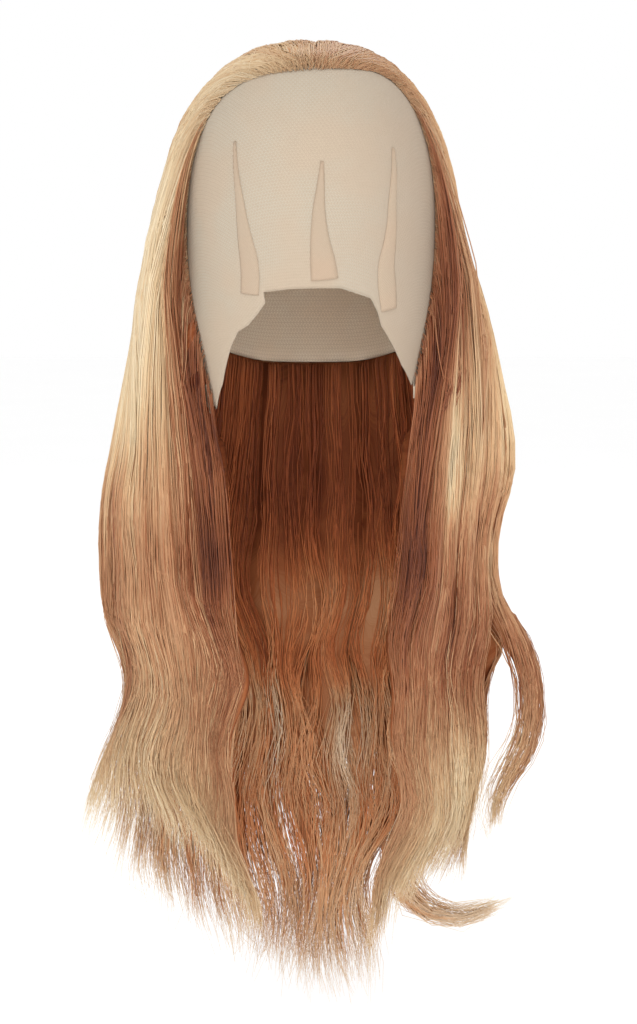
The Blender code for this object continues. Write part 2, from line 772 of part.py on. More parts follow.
def build_tuck(name):
    rows = np.array(TUCKS[name])
    middle = from_front(rows[:, 0], rows[:, 1])
    across = unit(np.cross(np.gradient(middle, axis=0), middle))
    place = on_head(middle, np.zeros(len(rows)))
    reach = np.linalg.norm(place - HEAD_CENTRE, axis=-1)
    columns = np.array((1.0, 0.0, -1.0))
    way = unit(middle[None] + across[None] * (columns[:, None] * rows[:, 2] * MM / reach)[..., None])
    way = way.transpose(1, 0, 2)[::-1]
    low = np.full(way.shape[:-1], LACE_THICK + TUCK_GAP)
    return shell(name, on_head(way, low), on_head(way, low + TUCK_THICK), "tuck")


def main():
    clear_scene()
    build_cap()
    build_lace()
    for name in TUCKS:
        build_tuck(name)
    hair_sheet("hair_front_left", 0, 6, "hair_light")
    hair_sheet("hair_side_left", 6, 10, "hair_mid")
    hair_sheet("hair_crown_back", 10, 18, "hair_dark")
    hair_sheet("hair_side_right", 18, 22, "hair_mid")
    hair_sheet("hair_front_right", 22, 28, "hair_light")
    nape_sheet()


if __name__ == "__main__":
    main()
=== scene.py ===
"""Lace front wig: net cap, lace front with tucks, and long hair as locks under thousands of strands."""

import math

import bpy
import numpy as np
from bpy.props import FloatProperty, FloatVectorProperty, IntProperty, PointerProperty
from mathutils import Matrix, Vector


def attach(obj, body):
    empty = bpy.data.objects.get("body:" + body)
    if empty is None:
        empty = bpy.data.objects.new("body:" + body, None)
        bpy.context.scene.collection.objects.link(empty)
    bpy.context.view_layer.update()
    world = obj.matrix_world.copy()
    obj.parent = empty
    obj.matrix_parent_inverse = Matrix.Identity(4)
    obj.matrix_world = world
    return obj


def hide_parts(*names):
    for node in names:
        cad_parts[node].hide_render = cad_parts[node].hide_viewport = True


bl_info = {
    "name": "Lace Front Wig",
    "version": (1, 0, 0),
    "blender": (4, 5, 0),
    "location": "View3D > Sidebar > Wig",
    "description": "Builds the cap, the lace front and the hair of a lace front wig",
    "category": "Object",
}

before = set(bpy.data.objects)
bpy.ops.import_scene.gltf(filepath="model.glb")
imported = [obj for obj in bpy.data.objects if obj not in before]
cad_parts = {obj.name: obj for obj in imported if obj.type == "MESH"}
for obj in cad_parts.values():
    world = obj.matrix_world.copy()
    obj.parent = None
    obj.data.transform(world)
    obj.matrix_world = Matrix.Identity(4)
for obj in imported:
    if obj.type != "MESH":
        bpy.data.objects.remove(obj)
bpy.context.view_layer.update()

MM = 0.001

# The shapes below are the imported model's own, read more finely

# The wig's hollow: the inside surface of the cap and the lace
HEAD_CENTRE = np.array((0.0, 0.0, -0.105))
HEAD_HALF_WIDTH = 0.077
HEAD_FRONT = 0.095
HEAD_BACK = 0.101
HEAD_UP = 0.105
HEAD_DOWN = 0.180
HEAD_POWER = 2.4

# Walls and gaps
CAP_THICK = 1.5 * MM
LACE_THICK = 1.0 * MM
TUCK_THICK = 1.1 * MM
TUCK_SIT = 0.1 * MM  # how far a tuck stands off the lace
TUCK_EDGE = 0.15  # share of its thickness left at its edges
STITCHES = 26  # along each side of a tuck
STITCH_RADIUS = 0.13  # in mm
SEAM_GAP = 0.4 * MM
SEAM_BACK = 15.0 * MM
HAIR_CLEAR = 2.5 * MM
HAIR_ROOT_CLEAR = 1.7 * MM
ROOT_THICK = 1.6 * MM
ROOT_RAMP = 15.0 * MM
EAR_RAMP = 42.0 * MM

# Hair sheets: u runs from the left ear (-1) over the middle (0) to the right ear (1)
LOCKS = 28
HEAD_ROWS = 18
FALL_ROWS = 6
TIP_ROWS = 11
JOINED = HEAD_ROWS + FALL_ROWS
JOIN_Z = -0.262
FOUNDATION_SAMPLES = 60
PATH_SAMPLES = 80
SMOOTHING = 36

# Hairline: u, turn from the front in degrees, height from the hollow's centre in degrees
HAIRLINE = np.array((
    (-1.00, -46.0, -53.0),
    (-0.94, -48.0, -42.0),
    (-0.86, -54.0, -30.0),
    (-0.76, -59.5, -15.0),
    (-0.66, -60.5, 1.0),
    (-0.56, -58.0, 16.0),
    (-0.46, -55.0, 30.0),
    (-0.36, -51.0, 41.0),
    (-0.24, -41.0, 49.5),
    (-0.12, -21.0, 54.5),
    (0.00, 2.0, 56.5),
    (0.12, 24.0, 57.0),
    (0.24, 46.0, 56.0),
    (0.36, 58.0, 48.0),
    (0.46, 61.0, 35.0),
    (0.56, 61.0, 20.0),
    (0.66, 62.0, 4.0),
    (0.76, 61.0, -12.0),
    (0.86, 56.0, -29.0),
    (0.94, 51.0, -40.0),
    (1.00, 48.5, -48.5),
))

# Cut lower edge of the lace: u, turn, height
CUT_EDGE = np.array((
    (-1.00, -47.0, -55.0),
    (-0.90, -38.0, -48.0),
    (-0.80, -31.0, -38.5),
    (-0.70, -27.0, -34.0),
    (-0.60, -22.5, -32.0),
    (-0.50, -18.5, -28.5),
    (-0.42, -15.8, -25.5),
    (-0.36, -16.4, -22.3),
    (-0.20, -7.5, -21.4),
    (0.00, 1.0, -21.2),
    (0.20, 10.5, -21.1),
    (0.38, 21.5, -24.2),
    (0.50, 24.5, -28.4),
    (0.60, 26.1, -32.2),
    (0.72, 31.2, -37.2),
    (0.86, 38.5, -43.8),
    (1.00, 48.5, -50.0),
))

# Where the hair begins to hang: u, turn from the back in degrees, height
LEAVING = np.array((
    (-1.00, -126.0, -57.0),
    (-0.86, -112.0, -46.0),
    (-0.70, -96.0, -40.0),
    (-0.55, -79.0, -39.0),
    (-0.40, -60.0, -40.0),
    (-0.20, -31.0, -43.0),
    (0.00, 0.0, -44.0),
    (0.20, 31.0, -43.0),
    (0.40, 60.0, -40.0),
    (0.55, 79.0, -39.0),
    (0.70, 96.0, -40.0),
    (0.86, 111.0, -46.0),
    (1.00, 125.0, -54.0),
))

# The way over the cap between the two: u, turn from the back, height
OVER = np.array((
    (-1.00, -130.0, -55.0),
    (-0.86, -119.0, -38.0),
    (-0.70, -108.0, -14.0),
    (-0.55, -97.0, 10.0),
    (-0.40, -80.0, 32.0),
    (-0.20, -50.0, 52.0),
    (0.00, 0.0, 62.0),
    (0.20, 50.0, 52.0),
    (0.40, 80.0, 32.0),
    (0.55, 97.0, 10.0),
    (0.70, 108.0, -14.0),
    (0.86, 118.0, -37.0),
    (1.00, 128.0, -51.0),
))
OVER_PULL = 1.3

# Stand-off of the hair's outer face from the hollow in mm: height z, left side, right side, middle
STAND_OFF = np.array((
    (-0.260, 66.0, 69.0, 22.0),
    (-0.230, 57.5, 61.0, 21.0),
    (-0.210, 46.5, 53.0, 19.0),
    (-0.190, 38.5, 45.0, 17.0),
    (-0.170, 33.5, 37.0, 16.0),
    (-0.150, 30.5, 29.0, 15.0),
    (-0.130, 25.5, 21.5, 14.0),
    (-0.110, 21.5, 15.0, 13.0),
    (-0.080, 14.0, 11.0, 11.0),
    (-0.050, 11.0, 8.5, 9.5),
    (-0.025, 7.6, 6.8, 7.2),
    (0.000, 5.6, 6.0, 5.6),
))

# Hanging hair in plan, in mm: z, then x y of the left inner edge, of the left reach, of the right inner edge
# and of the right reach, then y of the back
LEVELS = np.array((
    (-0.205, -56, -50, -111, 2, 60, -50, 115, 2, 114),
    (-0.232, -55, -48, -118, 4, 59, -48, 123, 4, 113),
    (-0.260, -53, -47, -125, 6, 58, -47, 123, 6, 112),
    (-0.288, -52, -46, -128, 8, 57, -46, 115, 8, 111),
    (-0.315, -51, -45, -131, 10, 56, -45, 115, 9, 109),
    (-0.345, -49, -44, -127, 10, 54, -44, 117, 10, 106),
    (-0.372, -47, -43, -113, 9, 52, -43, 116, 10, 103),
    (-0.402, -45, -41, -104, 7, 51, -40, 112, 8, 98),
    (-0.430, -43, -41, -103, 4, 49, -39, 108, 5, 90),
    (-0.470, -40, -39, -103, 2, 46, -37, 102, 2, 82),
    (-0.510, -37, -37, -101, 0, 43, -35, 93, 0, 74),
    (-0.560, -33, -34, -93, 0, 39, -32, 81, 0, 66),
    (-0.615, -29, -31, -80, 0, 35, -29, 66, 0, 60),
), dtype=float)
ROUND_U = np.array((-1.0, -0.8, -0.6, -0.44, -0.28, 0.0, 0.28, 0.44, 0.6, 0.8, 1.0))

# One row a lock, left to right: tip z in mm, flick out mm, sweep mm, crest mm, early split rows
LOCK_TABLE = (
    (-545, -4, 2, 3.0, 1),
    (-525, 2, -3, 2.4, 2),
    (-503, 10, -4, 3.2, 0),
    (-480, 32, -4, 2.8, 1),
    (-464, 44, -2, 3.4, 2),
    (-480, 38, 2, 3.0, 0),
    (-506, 26, 2, 2.6, 1),
    (-533, 17, 0, 3.2, 2),
    (-552, 13, -2, 2.6, 0),
    (-571, 9, -3, 3.0, 1),
    (-586, 6, -4, 2.6, 2),
    (-596, 4, -2, 3.2, 1),
    (-603, 2, 2, 2.8, 0),
    (-608, 0, 5, 3.0, 2),
    (-612, 0, 7, 2.6, 1),
    (-612, 0, 6, 3.2, 2),
    (-604, 2, 5, 2.8, 0),
    (-588, 0, 0, 2.6, 1),
    (-548, 2, 0, 3.0, 2),
    (-538, 3, -1, 2.6, 0),
    (-524, 3, 0, 3.2, 1),
    (-512, 2, 2, 2.8, 2),
    (-470, 0, 0, 3.0, 2),
    (-496, 2, -2, 2.6, 1),
    (-508, 3, -3, 3.2, 0),
    (-522, 2, 2, 2.6, 2),
    (-534, 0, 3, 2.8, 1),
    (-552, -4, -2, 3.0, 1),
)

HOOK = 17
LOOP = 22

# Two locks leave their sheet: points in mm from there to the tip, and the way their flat side faces
STRAY_LOCKS = {
    HOOK: (
        ((64, 89, -440), (60, 83, -475), (57, 79, -508), (58, 77, -535), (66, 76, -554), (84, 75, -565),
         (105, 74, -567), (122, 73, -560)),
        (0.0, 1.0, 0.0),
        8.0,
    ),
    LOOP: (
        ((127, 6, -358), (135, 2, -377), (139, 0, -397), (139, -1, -415), (135, 0, -433), (126, 2, -450),
         (118, 3, -464), (115, 4, -483)),
        (0.50, -0.86, 0.0),
        8.0,
    ),
}

# Tucks: turn, height, half width in mm, top to bottom
TUCKS = {
    "tuck_left": (
        (-29.0, 28.0, 0.9),
        (-27.0, 18.0, 1.6),
        (-25.2, 9.0, 2.6),
        (-24.0, 1.0, 3.6),
        (-22.8, -6.0, 4.8),
        (-21.6, -12.0, 5.6),
        (-21.2, -18.0, 5.8),
        (-21.6, -23.0, 5.6),
    ),
    "tuck_centre": (
        (4.2, 21.0, 0.9),
        (3.6, 13.0, 2.2),
        (3.0, 6.0, 3.4),
        (3.0, 0.0, 4.4),
        (3.4, -6.0, 5.6),
        (4.2, -12.0, 7.0),
        (5.0, -18.5, 7.8),
    ),
    "tuck_right": (
        (32.0, 26.0, 0.9),
        (31.0, 17.0, 2.0),
        (29.8, 8.0, 2.8),
        (29.4, 0.0, 3.4),
        (28.6, -7.0, 4.4),
        (27.4, -14.0, 5.6),
        (28.0, -21.0, 6.2),
        (29.2, -28.0, 5.4),
    ),
}

# Inner curtain under the back edge of the cap: tip z in mm for each of its locks
NAPE_TIPS = (-430, -462, -490, -508, -516, -498, -476, -440)
NAPE_SPAN = 0.5
NAPE_ROWS = 12
NAPE_JOINED = 5
NAPE_THICK = 4.0 * MM
NAPE_INSET = 5.0 * MM

# The five sheets of outer hair: first lock and the one after the last
SHEETS = {
    "hair_front_left": (0, 6),
    "hair_side_left": (6, 10),
    "hair_crown_back": (10, 18),
    "hair_side_right": (18, 22),
    "hair_front_right": (22, 28),
}

# The kinds of strand of each sheet, as shares of the usual number
FRONT_MIX = {"outer": 0.7, "swept": 1.1, "bridge": 1.0, "ear": 1.0, "inner": 0.35, "tips": 1.2, "fly": 2.2}
SIDE_MIX = {"outer": 0.9, "swept": 0.9, "inner": 1.0, "tips": 1.0, "fly": 0.8}
BACK_MIX = {"outer": 0.8, "swept": 0.7, "inner": 1.6, "tips": 1.3, "fly": 0.5}
STRANDS_OF = {
    "hair_front_left": FRONT_MIX,
    "hair_side_left": SIDE_MIX,
    "hair_crown_back": BACK_MIX,
    "hair_side_right": SIDE_MIX,
    "hair_front_right": FRONT_MIX,
}

# Hair tone from dark auburn (0) to pale blond (1): rows down the lock, tone there
TONE_ROWS = (0, 3, 8, 14, 19, 24, 29, 33, 35)
TONE_BASE = (0.62, 0.62, 0.58, 0.52, 0.42, 0.40, 0.46, 0.57, 0.78)
# Softer areas of another tone, a few of them painted shade and painted light as marked: u, row, spread in u,
# spread in rows, change of tone
TONE_PATCHES = (
    (-0.60, 5.0, 0.30, 7.0, 0.30),
    (-0.20, 0.0, 0.16, 2.5, 0.20),
    # Painted shade: darker hair by the left ear, beside the lace edge
    (-1.00, 9.0, 0.11, 13.0, -0.44),
    (-0.72, 14.0, 0.18, 5.5, 0.34),
    (-0.98, 19.0, 0.08, 3.5, 0.10),
    (-0.74, 27.0, 0.18, 7.0, 0.16),
    (-0.70, 34.0, 0.25, 3.5, 0.22),
    # Painted shade: darker hair by the right ear, beside the lace edge
    (0.98, 8.0, 0.20, 11.0, -0.34),
    (0.55, 8.0, 0.16, 7.0, 0.22),
    (0.83, 17.0, 0.09, 3.4, 0.46),
    (0.60, 15.0, 0.12, 5.0, 0.32),
    (0.62, 23.0, 0.08, 3.0, 0.22),
    (0.72, 26.5, 0.09, 2.5, -0.16),
    (0.97, 21.0, 0.10, 4.0, -0.16),
    (-0.98, 21.0, 0.10, 2.5, -0.20),
    (0.76, 32.0, 0.14, 4.0, 0.32),
    # Painted light on the inside of the back hair where light reaches it, and one patch of painted shade
    (0.10, 24.8, 0.05, 1.8, 0.17),
    (0.00, 21.0, 0.10, 1.4, 0.16),
    (0.20, 21.0, 0.05, 1.4, 0.20),
    (-0.14, 22.3, 0.06, 1.8, -0.08),
    (0.25, 34.0, 0.05, 3.5, 0.20),
    (-0.18, 26.0, 0.10, 4.0, -0.10),
    (0.18, 26.0, 0.05, 5.0, -0.10),
)
# Tones down the inner curtain, at the rows of TONE_ROWS; the dark first rows are painted shadow under the
# back edge of the cap
NAPE_BASE = (0.32, 0.25, 0.30, 0.48, 0.47, 0.47, 0.50, 0.54, 0.60)
# The same areas for the inner curtain, its own u from -1 to 1: the lighter ones painted light and the darker
# ones painted shade
NAPE_PATCHES = (
    (0.46, 11.0, 0.16, 3.5, 0.28),
    (0.00, 11.0, 0.15, 3.5, 0.24),
    (0.20, 25.0, 0.09, 5.0, 0.26),
    (-0.28, 15.0, 0.14, 4.0, -0.10),
    (0.22, 15.0, 0.10, 3.0, -0.10),
)
HAIR_COLOURS = (
    (0.00, (58, 22, 11)),
    (0.15, (99, 47, 24)),
    (0.30, (144, 82, 48)),
    (0.45, (173, 118, 81)),
    (0.60, (198, 152, 112)),
    (0.75, (217, 183, 141)),
    (0.90, (231, 207, 168)),
    (1.00, (242, 224, 192)),
)
# The same for the inside of the hair: more coppery, the warm colour of hair in shade painted in
INSIDE_SHADE_COLOURS = (
    (0.00, (58, 21, 11)),
    (0.15, (100, 45, 23)),
    (0.30, (150, 76, 41)),
    (0.45, (190, 108, 62)),
    (0.60, (212, 138, 88)),
    (0.75, (218, 170, 126)),
    (1.00, (234, 212, 182)),
)
# Strands of the side hair start nearer the middle of the hairline than they fall: fall u, root u
DRIFT = ((0.0, 0.15, 0.35, 0.55, 0.75, 0.9, 1.0), (0.0, 0.06, 0.10, 0.16, 0.30, 0.52, 0.80))
# Strands that bridge the hollow by the ear: fall u, root u
BRIDGE = ((0.71, 0.79, 0.86, 0.93, 1.0), (0.42, 0.54, 0.68, 0.82, 1.0))
EAR = ((0.86, 0.93, 1.0), (0.45, 0.54, 0.97))
MAP = "OFBake"
RIM_STEP = 0.008  # change of tone from one side of a strand to the next

# The tips at the left flick outwards: how far in mm, at which u, over what spread of u
FLICK = 10.0
FLICK_AT = -0.66
FLICK_SPREAD = 0.12

# Locks near the ears, by u, and the row from which the hair there is strands of its own
BY_EAR = 0.75
EAR_ROW = 12.0
# Points of a strand on its way past the ear
BRIDGE_POINTS = 18

# The camera fitted to the photograph: lens in mm, place, tilt down in degrees
CAMERA_LENS = 76.56
CAMERA_PLACE = (0.0047, -1.35, -0.110)
CAMERA_TILT = 7.3025

FLOOR_Z = -0.640
FLOOR_REACH = 8.0


# Shared shape maths

def spline(x, xs, ys):
    """Smooth curve through the points (xs, ys), read at x."""
    xs = np.asarray(xs, float)
    ys = np.asarray(ys, float)
    flat = ys.ndim == 1
    if flat:
        ys = ys[:, None]
    x = np.clip(np.asarray(x, float), xs[0], xs[-1])
    step = np.diff(xs)
    slope = np.diff(ys, axis=0) / step[:, None]
    tangent = np.empty_like(ys)
    tangent[0] = slope[0]
    tangent[-1] = slope[-1]
    before = step[:-1, None]
    after = step[1:, None]
    tangent[1:-1] = (slope[:-1] * after + slope[1:] * before) / (before + after)
    i = np.clip(np.searchsorted(xs, x, side="right") - 1, 0, len(xs) - 2)
    t = ((x - xs[i]) / step[i])[..., None]
    h = step[i][..., None]
    value = (
        (1 + 2 * t) * (1 - t) ** 2 * ys[i]
        + t * (1 - t) ** 2 * h * tangent[i]
        + t * t * (3 - 2 * t) * ys[i + 1]
        + t * t * (t - 1) * h * tangent[i + 1]
    )
    return value[..., 0] if flat else value


def unit(v):
    return v / np.maximum(np.linalg.norm(v, axis=-1, keepdims=True), 1e-12)


def from_front(turn, height):
    turn = np.radians(turn)
    height = np.radians(height)
    return np.stack((np.sin(turn) * np.cos(height), -np.cos(turn) * np.cos(height), np.sin(height)), -1)


def from_back(turn, height):
    return from_front(turn, height) * np.array((1.0, -1.0, 1.0))


def root_way(u):
    angles = spline(u, HAIRLINE[:, 0], HAIRLINE[:, 1:])
    return from_front(angles[..., 0], angles[..., 1])


def cut_way(u):
    angles = np.stack([np.interp(u, CUT_EDGE[:, 0], CUT_EDGE[:, k]) for k in (1, 2)], -1)
    return from_front(angles[..., 0], angles[..., 1])


def leaving_way(u):
    angles = spline(u, LEAVING[:, 0], LEAVING[:, 1:])
    return from_back(angles[..., 0], angles[..., 1])


def over_way(u):
    angles = spline(u, OVER[:, 0], OVER[:, 1:])
    return from_back(angles[..., 0], angles[..., 1])


def swept(u, t):
    """The directions a fraction t of the way from the hairline over the cap; u and t of one shape."""
    a, m, b = root_way(u), over_way(u), leaving_way(u)
    t = np.asarray(t)[..., None]
    return unit((1 - t) ** 2 * a + 2 * OVER_PULL * t * (1 - t) * m + t ** 2 * b)


def turned(a, b, t):
    """The directions a fraction t of the way from a to b, along the great circle."""
    angle = np.arccos(np.clip((a * b).sum(-1, keepdims=True), -1.0, 1.0))
    t = np.asarray(t)[..., None]
    return unit(np.sin((1 - t) * angle) * a + np.sin(t * angle) * b)


def on_head(way, lift):
    """Points that stand off the wig's hollow by lift, square to its surface."""
    half = np.stack((
        np.full(way.shape[:-1], HEAD_HALF_WIDTH),
        np.where(way[..., 1] < 0, HEAD_FRONT, HEAD_BACK),
        np.where(way[..., 2] > 0, HEAD_UP, HEAD_DOWN),
    ), -1)
    scaled = np.abs(way / half)
    radius = (scaled ** HEAD_POWER).sum(-1) ** (-1 / HEAD_POWER)
    square = unit(np.sign(way) * scaled ** (HEAD_POWER - 1) / half)
    return HEAD_CENTRE + way * radius[..., None] + square * np.asarray(lift)[..., None]


def lengths_along(points):
    steps = np.linalg.norm(np.diff(points, axis=-2), axis=-1)
    start = np.zeros(steps.shape[:-1] + (1,))
    return np.concatenate((start, np.cumsum(steps, axis=-1)), -1)


def steps_evenly(points, fractions):
    """Where these fractions of the length of each polyline lie, counted in its points."""
    runs = lengths_along(points)
    return np.stack([np.interp(fractions * run[-1], run, np.arange(len(run))) for run in runs])


def read_lines(points, steps):
    i = np.minimum(steps.astype(int), points.shape[1] - 2)
    part = (steps - i)[..., None]
    line = np.arange(len(points))[:, None]
    return points[line, i] * (1 - part) + points[line, i + 1] * part


def evenly(points, fractions):
    return read_lines(points, steps_evenly(points, fractions))


def round_section(z):
    """Plan of the hanging hair at height z: one point for each value of ROUND_U, in metres."""
    lix, liy, lx, ly, rix, riy, rx, ry, by = spline(z, LEVELS[::-1, 0], LEVELS[::-1, 1:])
    return MM * np.array((
        (lix, liy),
        ((lix + lx) / 2, (liy + ly) / 2 - 6),
        (lx, ly),
        (0.93 * lx, ly + 0.48 * (by - ly)),
        (0.66 * lx, by - 0.17 * (by - ly)),
        (0, by),
        (0.66 * rx, by - 0.17 * (by - ry)),
        (0.93 * rx, ry + 0.48 * (by - ry)),
        (rx, ry),
        ((rix + rx) / 2, (riy + ry) / 2 - 6),
        (rix, riy),
    ))


GRID_U = np.linspace(-1.0, 1.0, 161)
GRID_Z = np.linspace(-0.205, -0.615, 83)
PLAN = np.stack([spline(GRID_U, ROUND_U, round_section(z)) for z in GRID_Z], 1)
PLAN_ALONG = np.gradient(PLAN, axis=0)
PLAN_OUT = unit(np.stack((-PLAN_ALONG[..., 1], PLAN_ALONG[..., 0]), -1))


def read_grid(grid, u, z):
    across = (np.asarray(u) + 1) / 2
    down = (np.asarray(z) - GRID_Z[0]) / (GRID_Z[-1] - GRID_Z[0])
    x = np.clip(across * (len(GRID_U) - 1), 0, len(GRID_U) - 1.001)
    y = np.clip(down * (len(GRID_Z) - 1), 0, len(GRID_Z) - 1.001)
    i = x.astype(int)
    j = y.astype(int)
    a = (x - i)[..., None]
    b = (y - j)[..., None]
    top = grid[i, j] * (1 - a) + grid[i + 1, j] * a
    low = grid[i, j + 1] * (1 - a) + grid[i + 1, j + 1] * a
    return top * (1 - b) + low * b


def curtain(u, z, inset):
    """Points of the hanging hair, inset from its outer face, and the way out of it there."""
    u, z, inset = np.broadcast_arrays(np.asarray(u, float), z, inset)
    way = unit(read_grid(PLAN_OUT, u, z))
    wave = 2.2 * MM * np.sin(z * 2 * math.pi / 0.085 + 5 * u) * np.clip((-0.24 - z) / 0.1, 0, 1)
    plan = read_grid(PLAN, u, z) + way * (wave - inset)[..., None]
    return np.concatenate((plan, z[..., None]), -1), np.concatenate((way, 0 * z[..., None]), -1)


def fall_thickness(u, z):
    """Wall of the hanging hair: thicker at the top, thinner at its front edges."""
    base = MM * np.interp(-z, (0.205, 0.262, 0.33, 0.42, 0.6), (15.0, 13.0, 9.5, 6.5, 3.5))
    edge = np.clip((1 - np.abs(u)) / 0.12, 0, 1)
    return base * (0.5 + 0.5 * edge)


def head_paths(u):
    """Outer and inner paths of the hair from the hairline to JOIN_Z, one for each u."""
    t = np.linspace(0, 1, FOUNDATION_SAMPLES)
    way = swept(np.broadcast_to(u[:, None], (len(u), len(t))), np.broadcast_to(t, (len(u), len(t))))
    bare = on_head(way, np.zeros(way.shape[:-1]))
    run = lengths_along(bare)
    side = way[..., 0] ** 2 / (way[..., 0] ** 2 + way[..., 1] ** 2 + 0.15 * np.clip(way[..., 2], 0, 1) ** 2)
    off = MM * spline(bare[..., 2], STAND_OFF[:, 0], STAND_OFF[:, 1:])
    lift = np.where(way[..., 0] < 0, off[..., 0], off[..., 1]) * side + off[..., 2] * (1 - side)
    dip = ((run[:, -1:] + 0.06) / HEAD_ROWS) ** 2 + 0.018 ** 2
    clear = HAIR_ROOT_CLEAR + (HAIR_CLEAR + dip / 0.62 - HAIR_ROOT_CLEAR) * np.clip(run / 0.012, 0, 1)
    near_ear = np.clip((np.abs(u) - 0.58) / 0.32, 0, 1)[:, None]
    ramp = ROOT_RAMP + (EAR_RAMP - ROOT_RAMP) * near_ear * near_ear * (3 - 2 * near_ear)
    lift = clear + ROOT_THICK + np.maximum(lift - clear - ROOT_THICK, 0) * (1 - np.exp(-run / ramp))
    z = np.linspace(-0.236, JOIN_Z, 6)
    wall = fall_thickness(u[:, None], z[None, :])
    outer = np.concatenate((on_head(way, lift), curtain(u[:, None], z[None, :], 0 * wall)[0]), 1)
    inner = np.concatenate((on_head(way, clear), curtain(u[:, None], z[None, :], wall)[0]), 1)
    steps = steps_evenly(outer, np.linspace(0, 1, PATH_SAMPLES))
    outer = read_lines(outer, steps)
    inner = read_lines(inner, steps)
    for _ in range(SMOOTHING):
        outer[:, 1:-1] += 0.5 * ((outer[:, :-2] + outer[:, 2:]) / 2 - outer[:, 1:-1])
    return outer, inner


def fall_end(u):
    """Height where every lock has left its neighbours."""
    return np.minimum(-0.43 + 0.25 * u * u, -0.338)


def sheet_rows(u):
    """Outer and inner points of the joined part of the sheet: (len(u), rows, 3)."""
    outer, inner = head_paths(u)
    steps = steps_evenly(outer, np.linspace(0, 1, HEAD_ROWS + 1))
    outer = read_lines(outer, steps)
    inner = read_lines(inner, steps)
    z = JOIN_Z + (fall_end(u)[:, None] - JOIN_Z) * np.linspace(0, 1, FALL_ROWS + 1)[None, 1:]
    wall = fall_thickness(u[:, None], z)
    outer = np.concatenate((outer, curtain(u[:, None], z, 0 * z)[0]), 1)
    inner = np.concatenate((inner, curtain(u[:, None], z, wall)[0]), 1)
    return outer, inner


def strip_rows(number, table, u_mid, half, rows):
    """Middle, way out, way along u and half width of one free lock, one row after another."""
    start = fall_end(u_mid)
    tip = table[0] * MM
    t = np.linspace(0, 1, rows + 1)[1:]
    z = start + (tip - start) * t
    middle, out = curtain(np.full(rows, u_mid), z, np.zeros(rows))
    left = curtain(np.full(rows, u_mid - half), z, np.zeros(rows))[0]
    right = curtain(np.full(rows, u_mid + half), z, np.zeros(rows))[0]
    along = unit(right - left)
    width = np.linalg.norm(right - left, axis=-1) / 2
    middle = middle + out * (table[1] * MM * t ** 1.8)[:, None] + along * (table[2] * MM * t ** 2)[:, None]
    if number in STRAY_LOCKS:
        points, facing, stray_width = STRAY_LOCKS[number]
        first = curtain(np.array([u_mid]), np.array([start]), np.array([0.0]))[0]
        course = np.concatenate((first, MM * np.array(points, float)))
        run = lengths_along(course[None])[0]
        middle = spline(t, run / run[-1], course)
        blend = np.clip(t / 0.3, 0, 1)[:, None]
        out = unit(out * (1 - blend) + np.array(facing) * blend)
        heading = unit(np.gradient(np.concatenate((first, middle)), axis=0)[1:])
        side = unit(np.cross(heading, out))
        side *= np.sign((side[0] * along[0]).sum())
        along = side
        square = np.cross(along, heading)
        out = unit(square) * np.sign((square * out).sum(-1, keepdims=True))
        width = width * (1 - blend[:, 0]) + stray_width * MM * blend[:, 0]
    return middle, out, along, width, t


def all_lock_rows():
    """The cross-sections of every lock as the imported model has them: (locks, rows, 5, 3)."""
    step = 2.0 / LOCKS
    mixed = np.linspace(-1, 1, 2 * LOCKS + 1)
    outer, inner = sheet_rows(mixed)
    way = unit(np.cross(np.gradient(outer, axis=0), np.gradient(outer, axis=1)))
    found = []
    for k, table in enumerate(LOCK_TABLE):
        crest = table[3] * MM
        rows = []
        for r in range(JOINED + 1):
            grow = min(1.0, 0.15 + 0.85 * (r / 14.0) ** 1.5)
            j = 2 * k
            left = outer[j, r] - way[j, r] * 0.8 * MM * grow
            mid = outer[j + 1, r] + way[j + 1, r] * crest * grow
            right = outer[j + 2, r] - way[j + 2, r] * 0.8 * MM * grow
            rows.append((left, mid, right, inner[j, r], inner[j + 2, r]))
        end_width = np.linalg.norm(rows[-1][2] - rows[-1][0]) / 2
        end_wall = np.linalg.norm(outer[2 * k + 1, JOINED] - inner[2 * k + 1, JOINED])
        middle, out, along, width, t = strip_rows(k, table, mixed[2 * k + 1], step / 2, TIP_ROWS)
        for i in range(TIP_ROWS):
            wide = end_width + (width[i] - end_width) * min(1.0, 3 * t[i])
            wide = max(wide * (0.96 - 0.82 * t[i] ** 3.5) - 0.35 * MM, 1.0 * MM)
            wall = end_wall + (1.8 * MM - end_wall) * t[i]
            sink = 0.8 * MM * (1 - t[i])
            low_wide = max(wide - 0.22 * wall, 0.8 * MM)
            low = middle[i] - out[i] * (sink + wall)
            rows.append((
                middle[i] - along[i] * wide - out[i] * sink,
                middle[i] + out[i] * crest * (1 - 0.75 * t[i]),
                middle[i] + along[i] * wide - out[i] * sink,
                low - along[i] * low_wide,
                low + along[i] * low_wide,
            ))
        found.append(rows)
    return np.array(found)


def nape_point(u, r, tip):
    """Outer point, inner point and way out of the inner curtain at row r."""
    below = unit(leaving_way(np.array([u])) + np.array((0.0, 0.0, -0.012)))
    top_out = on_head(below, np.array([1.6 * MM]))[0]
    top_in = on_head(below, np.array([0.1 * MM]))[0]
    first = -0.275
    common = -0.38
    if r == 0:
        return top_out, top_in, unit(top_out - top_in)
    if r <= NAPE_JOINED:
        z = first + (common - first) * (r - 1) / (NAPE_JOINED - 1)
    else:
        z = common + (tip - common) * (r - NAPE_JOINED) / (NAPE_ROWS - NAPE_JOINED)
    wall = NAPE_THICK * (1 - 0.5 * max(0, r - NAPE_JOINED) / (NAPE_ROWS - NAPE_JOINED))
    inset = fall_thickness(np.array([u]), np.array([z])) + NAPE_INSET
    place, out = curtain(np.array([u]), np.array([z]), inset)
    return place[0], place[0] - out[0] * wall, out[0]


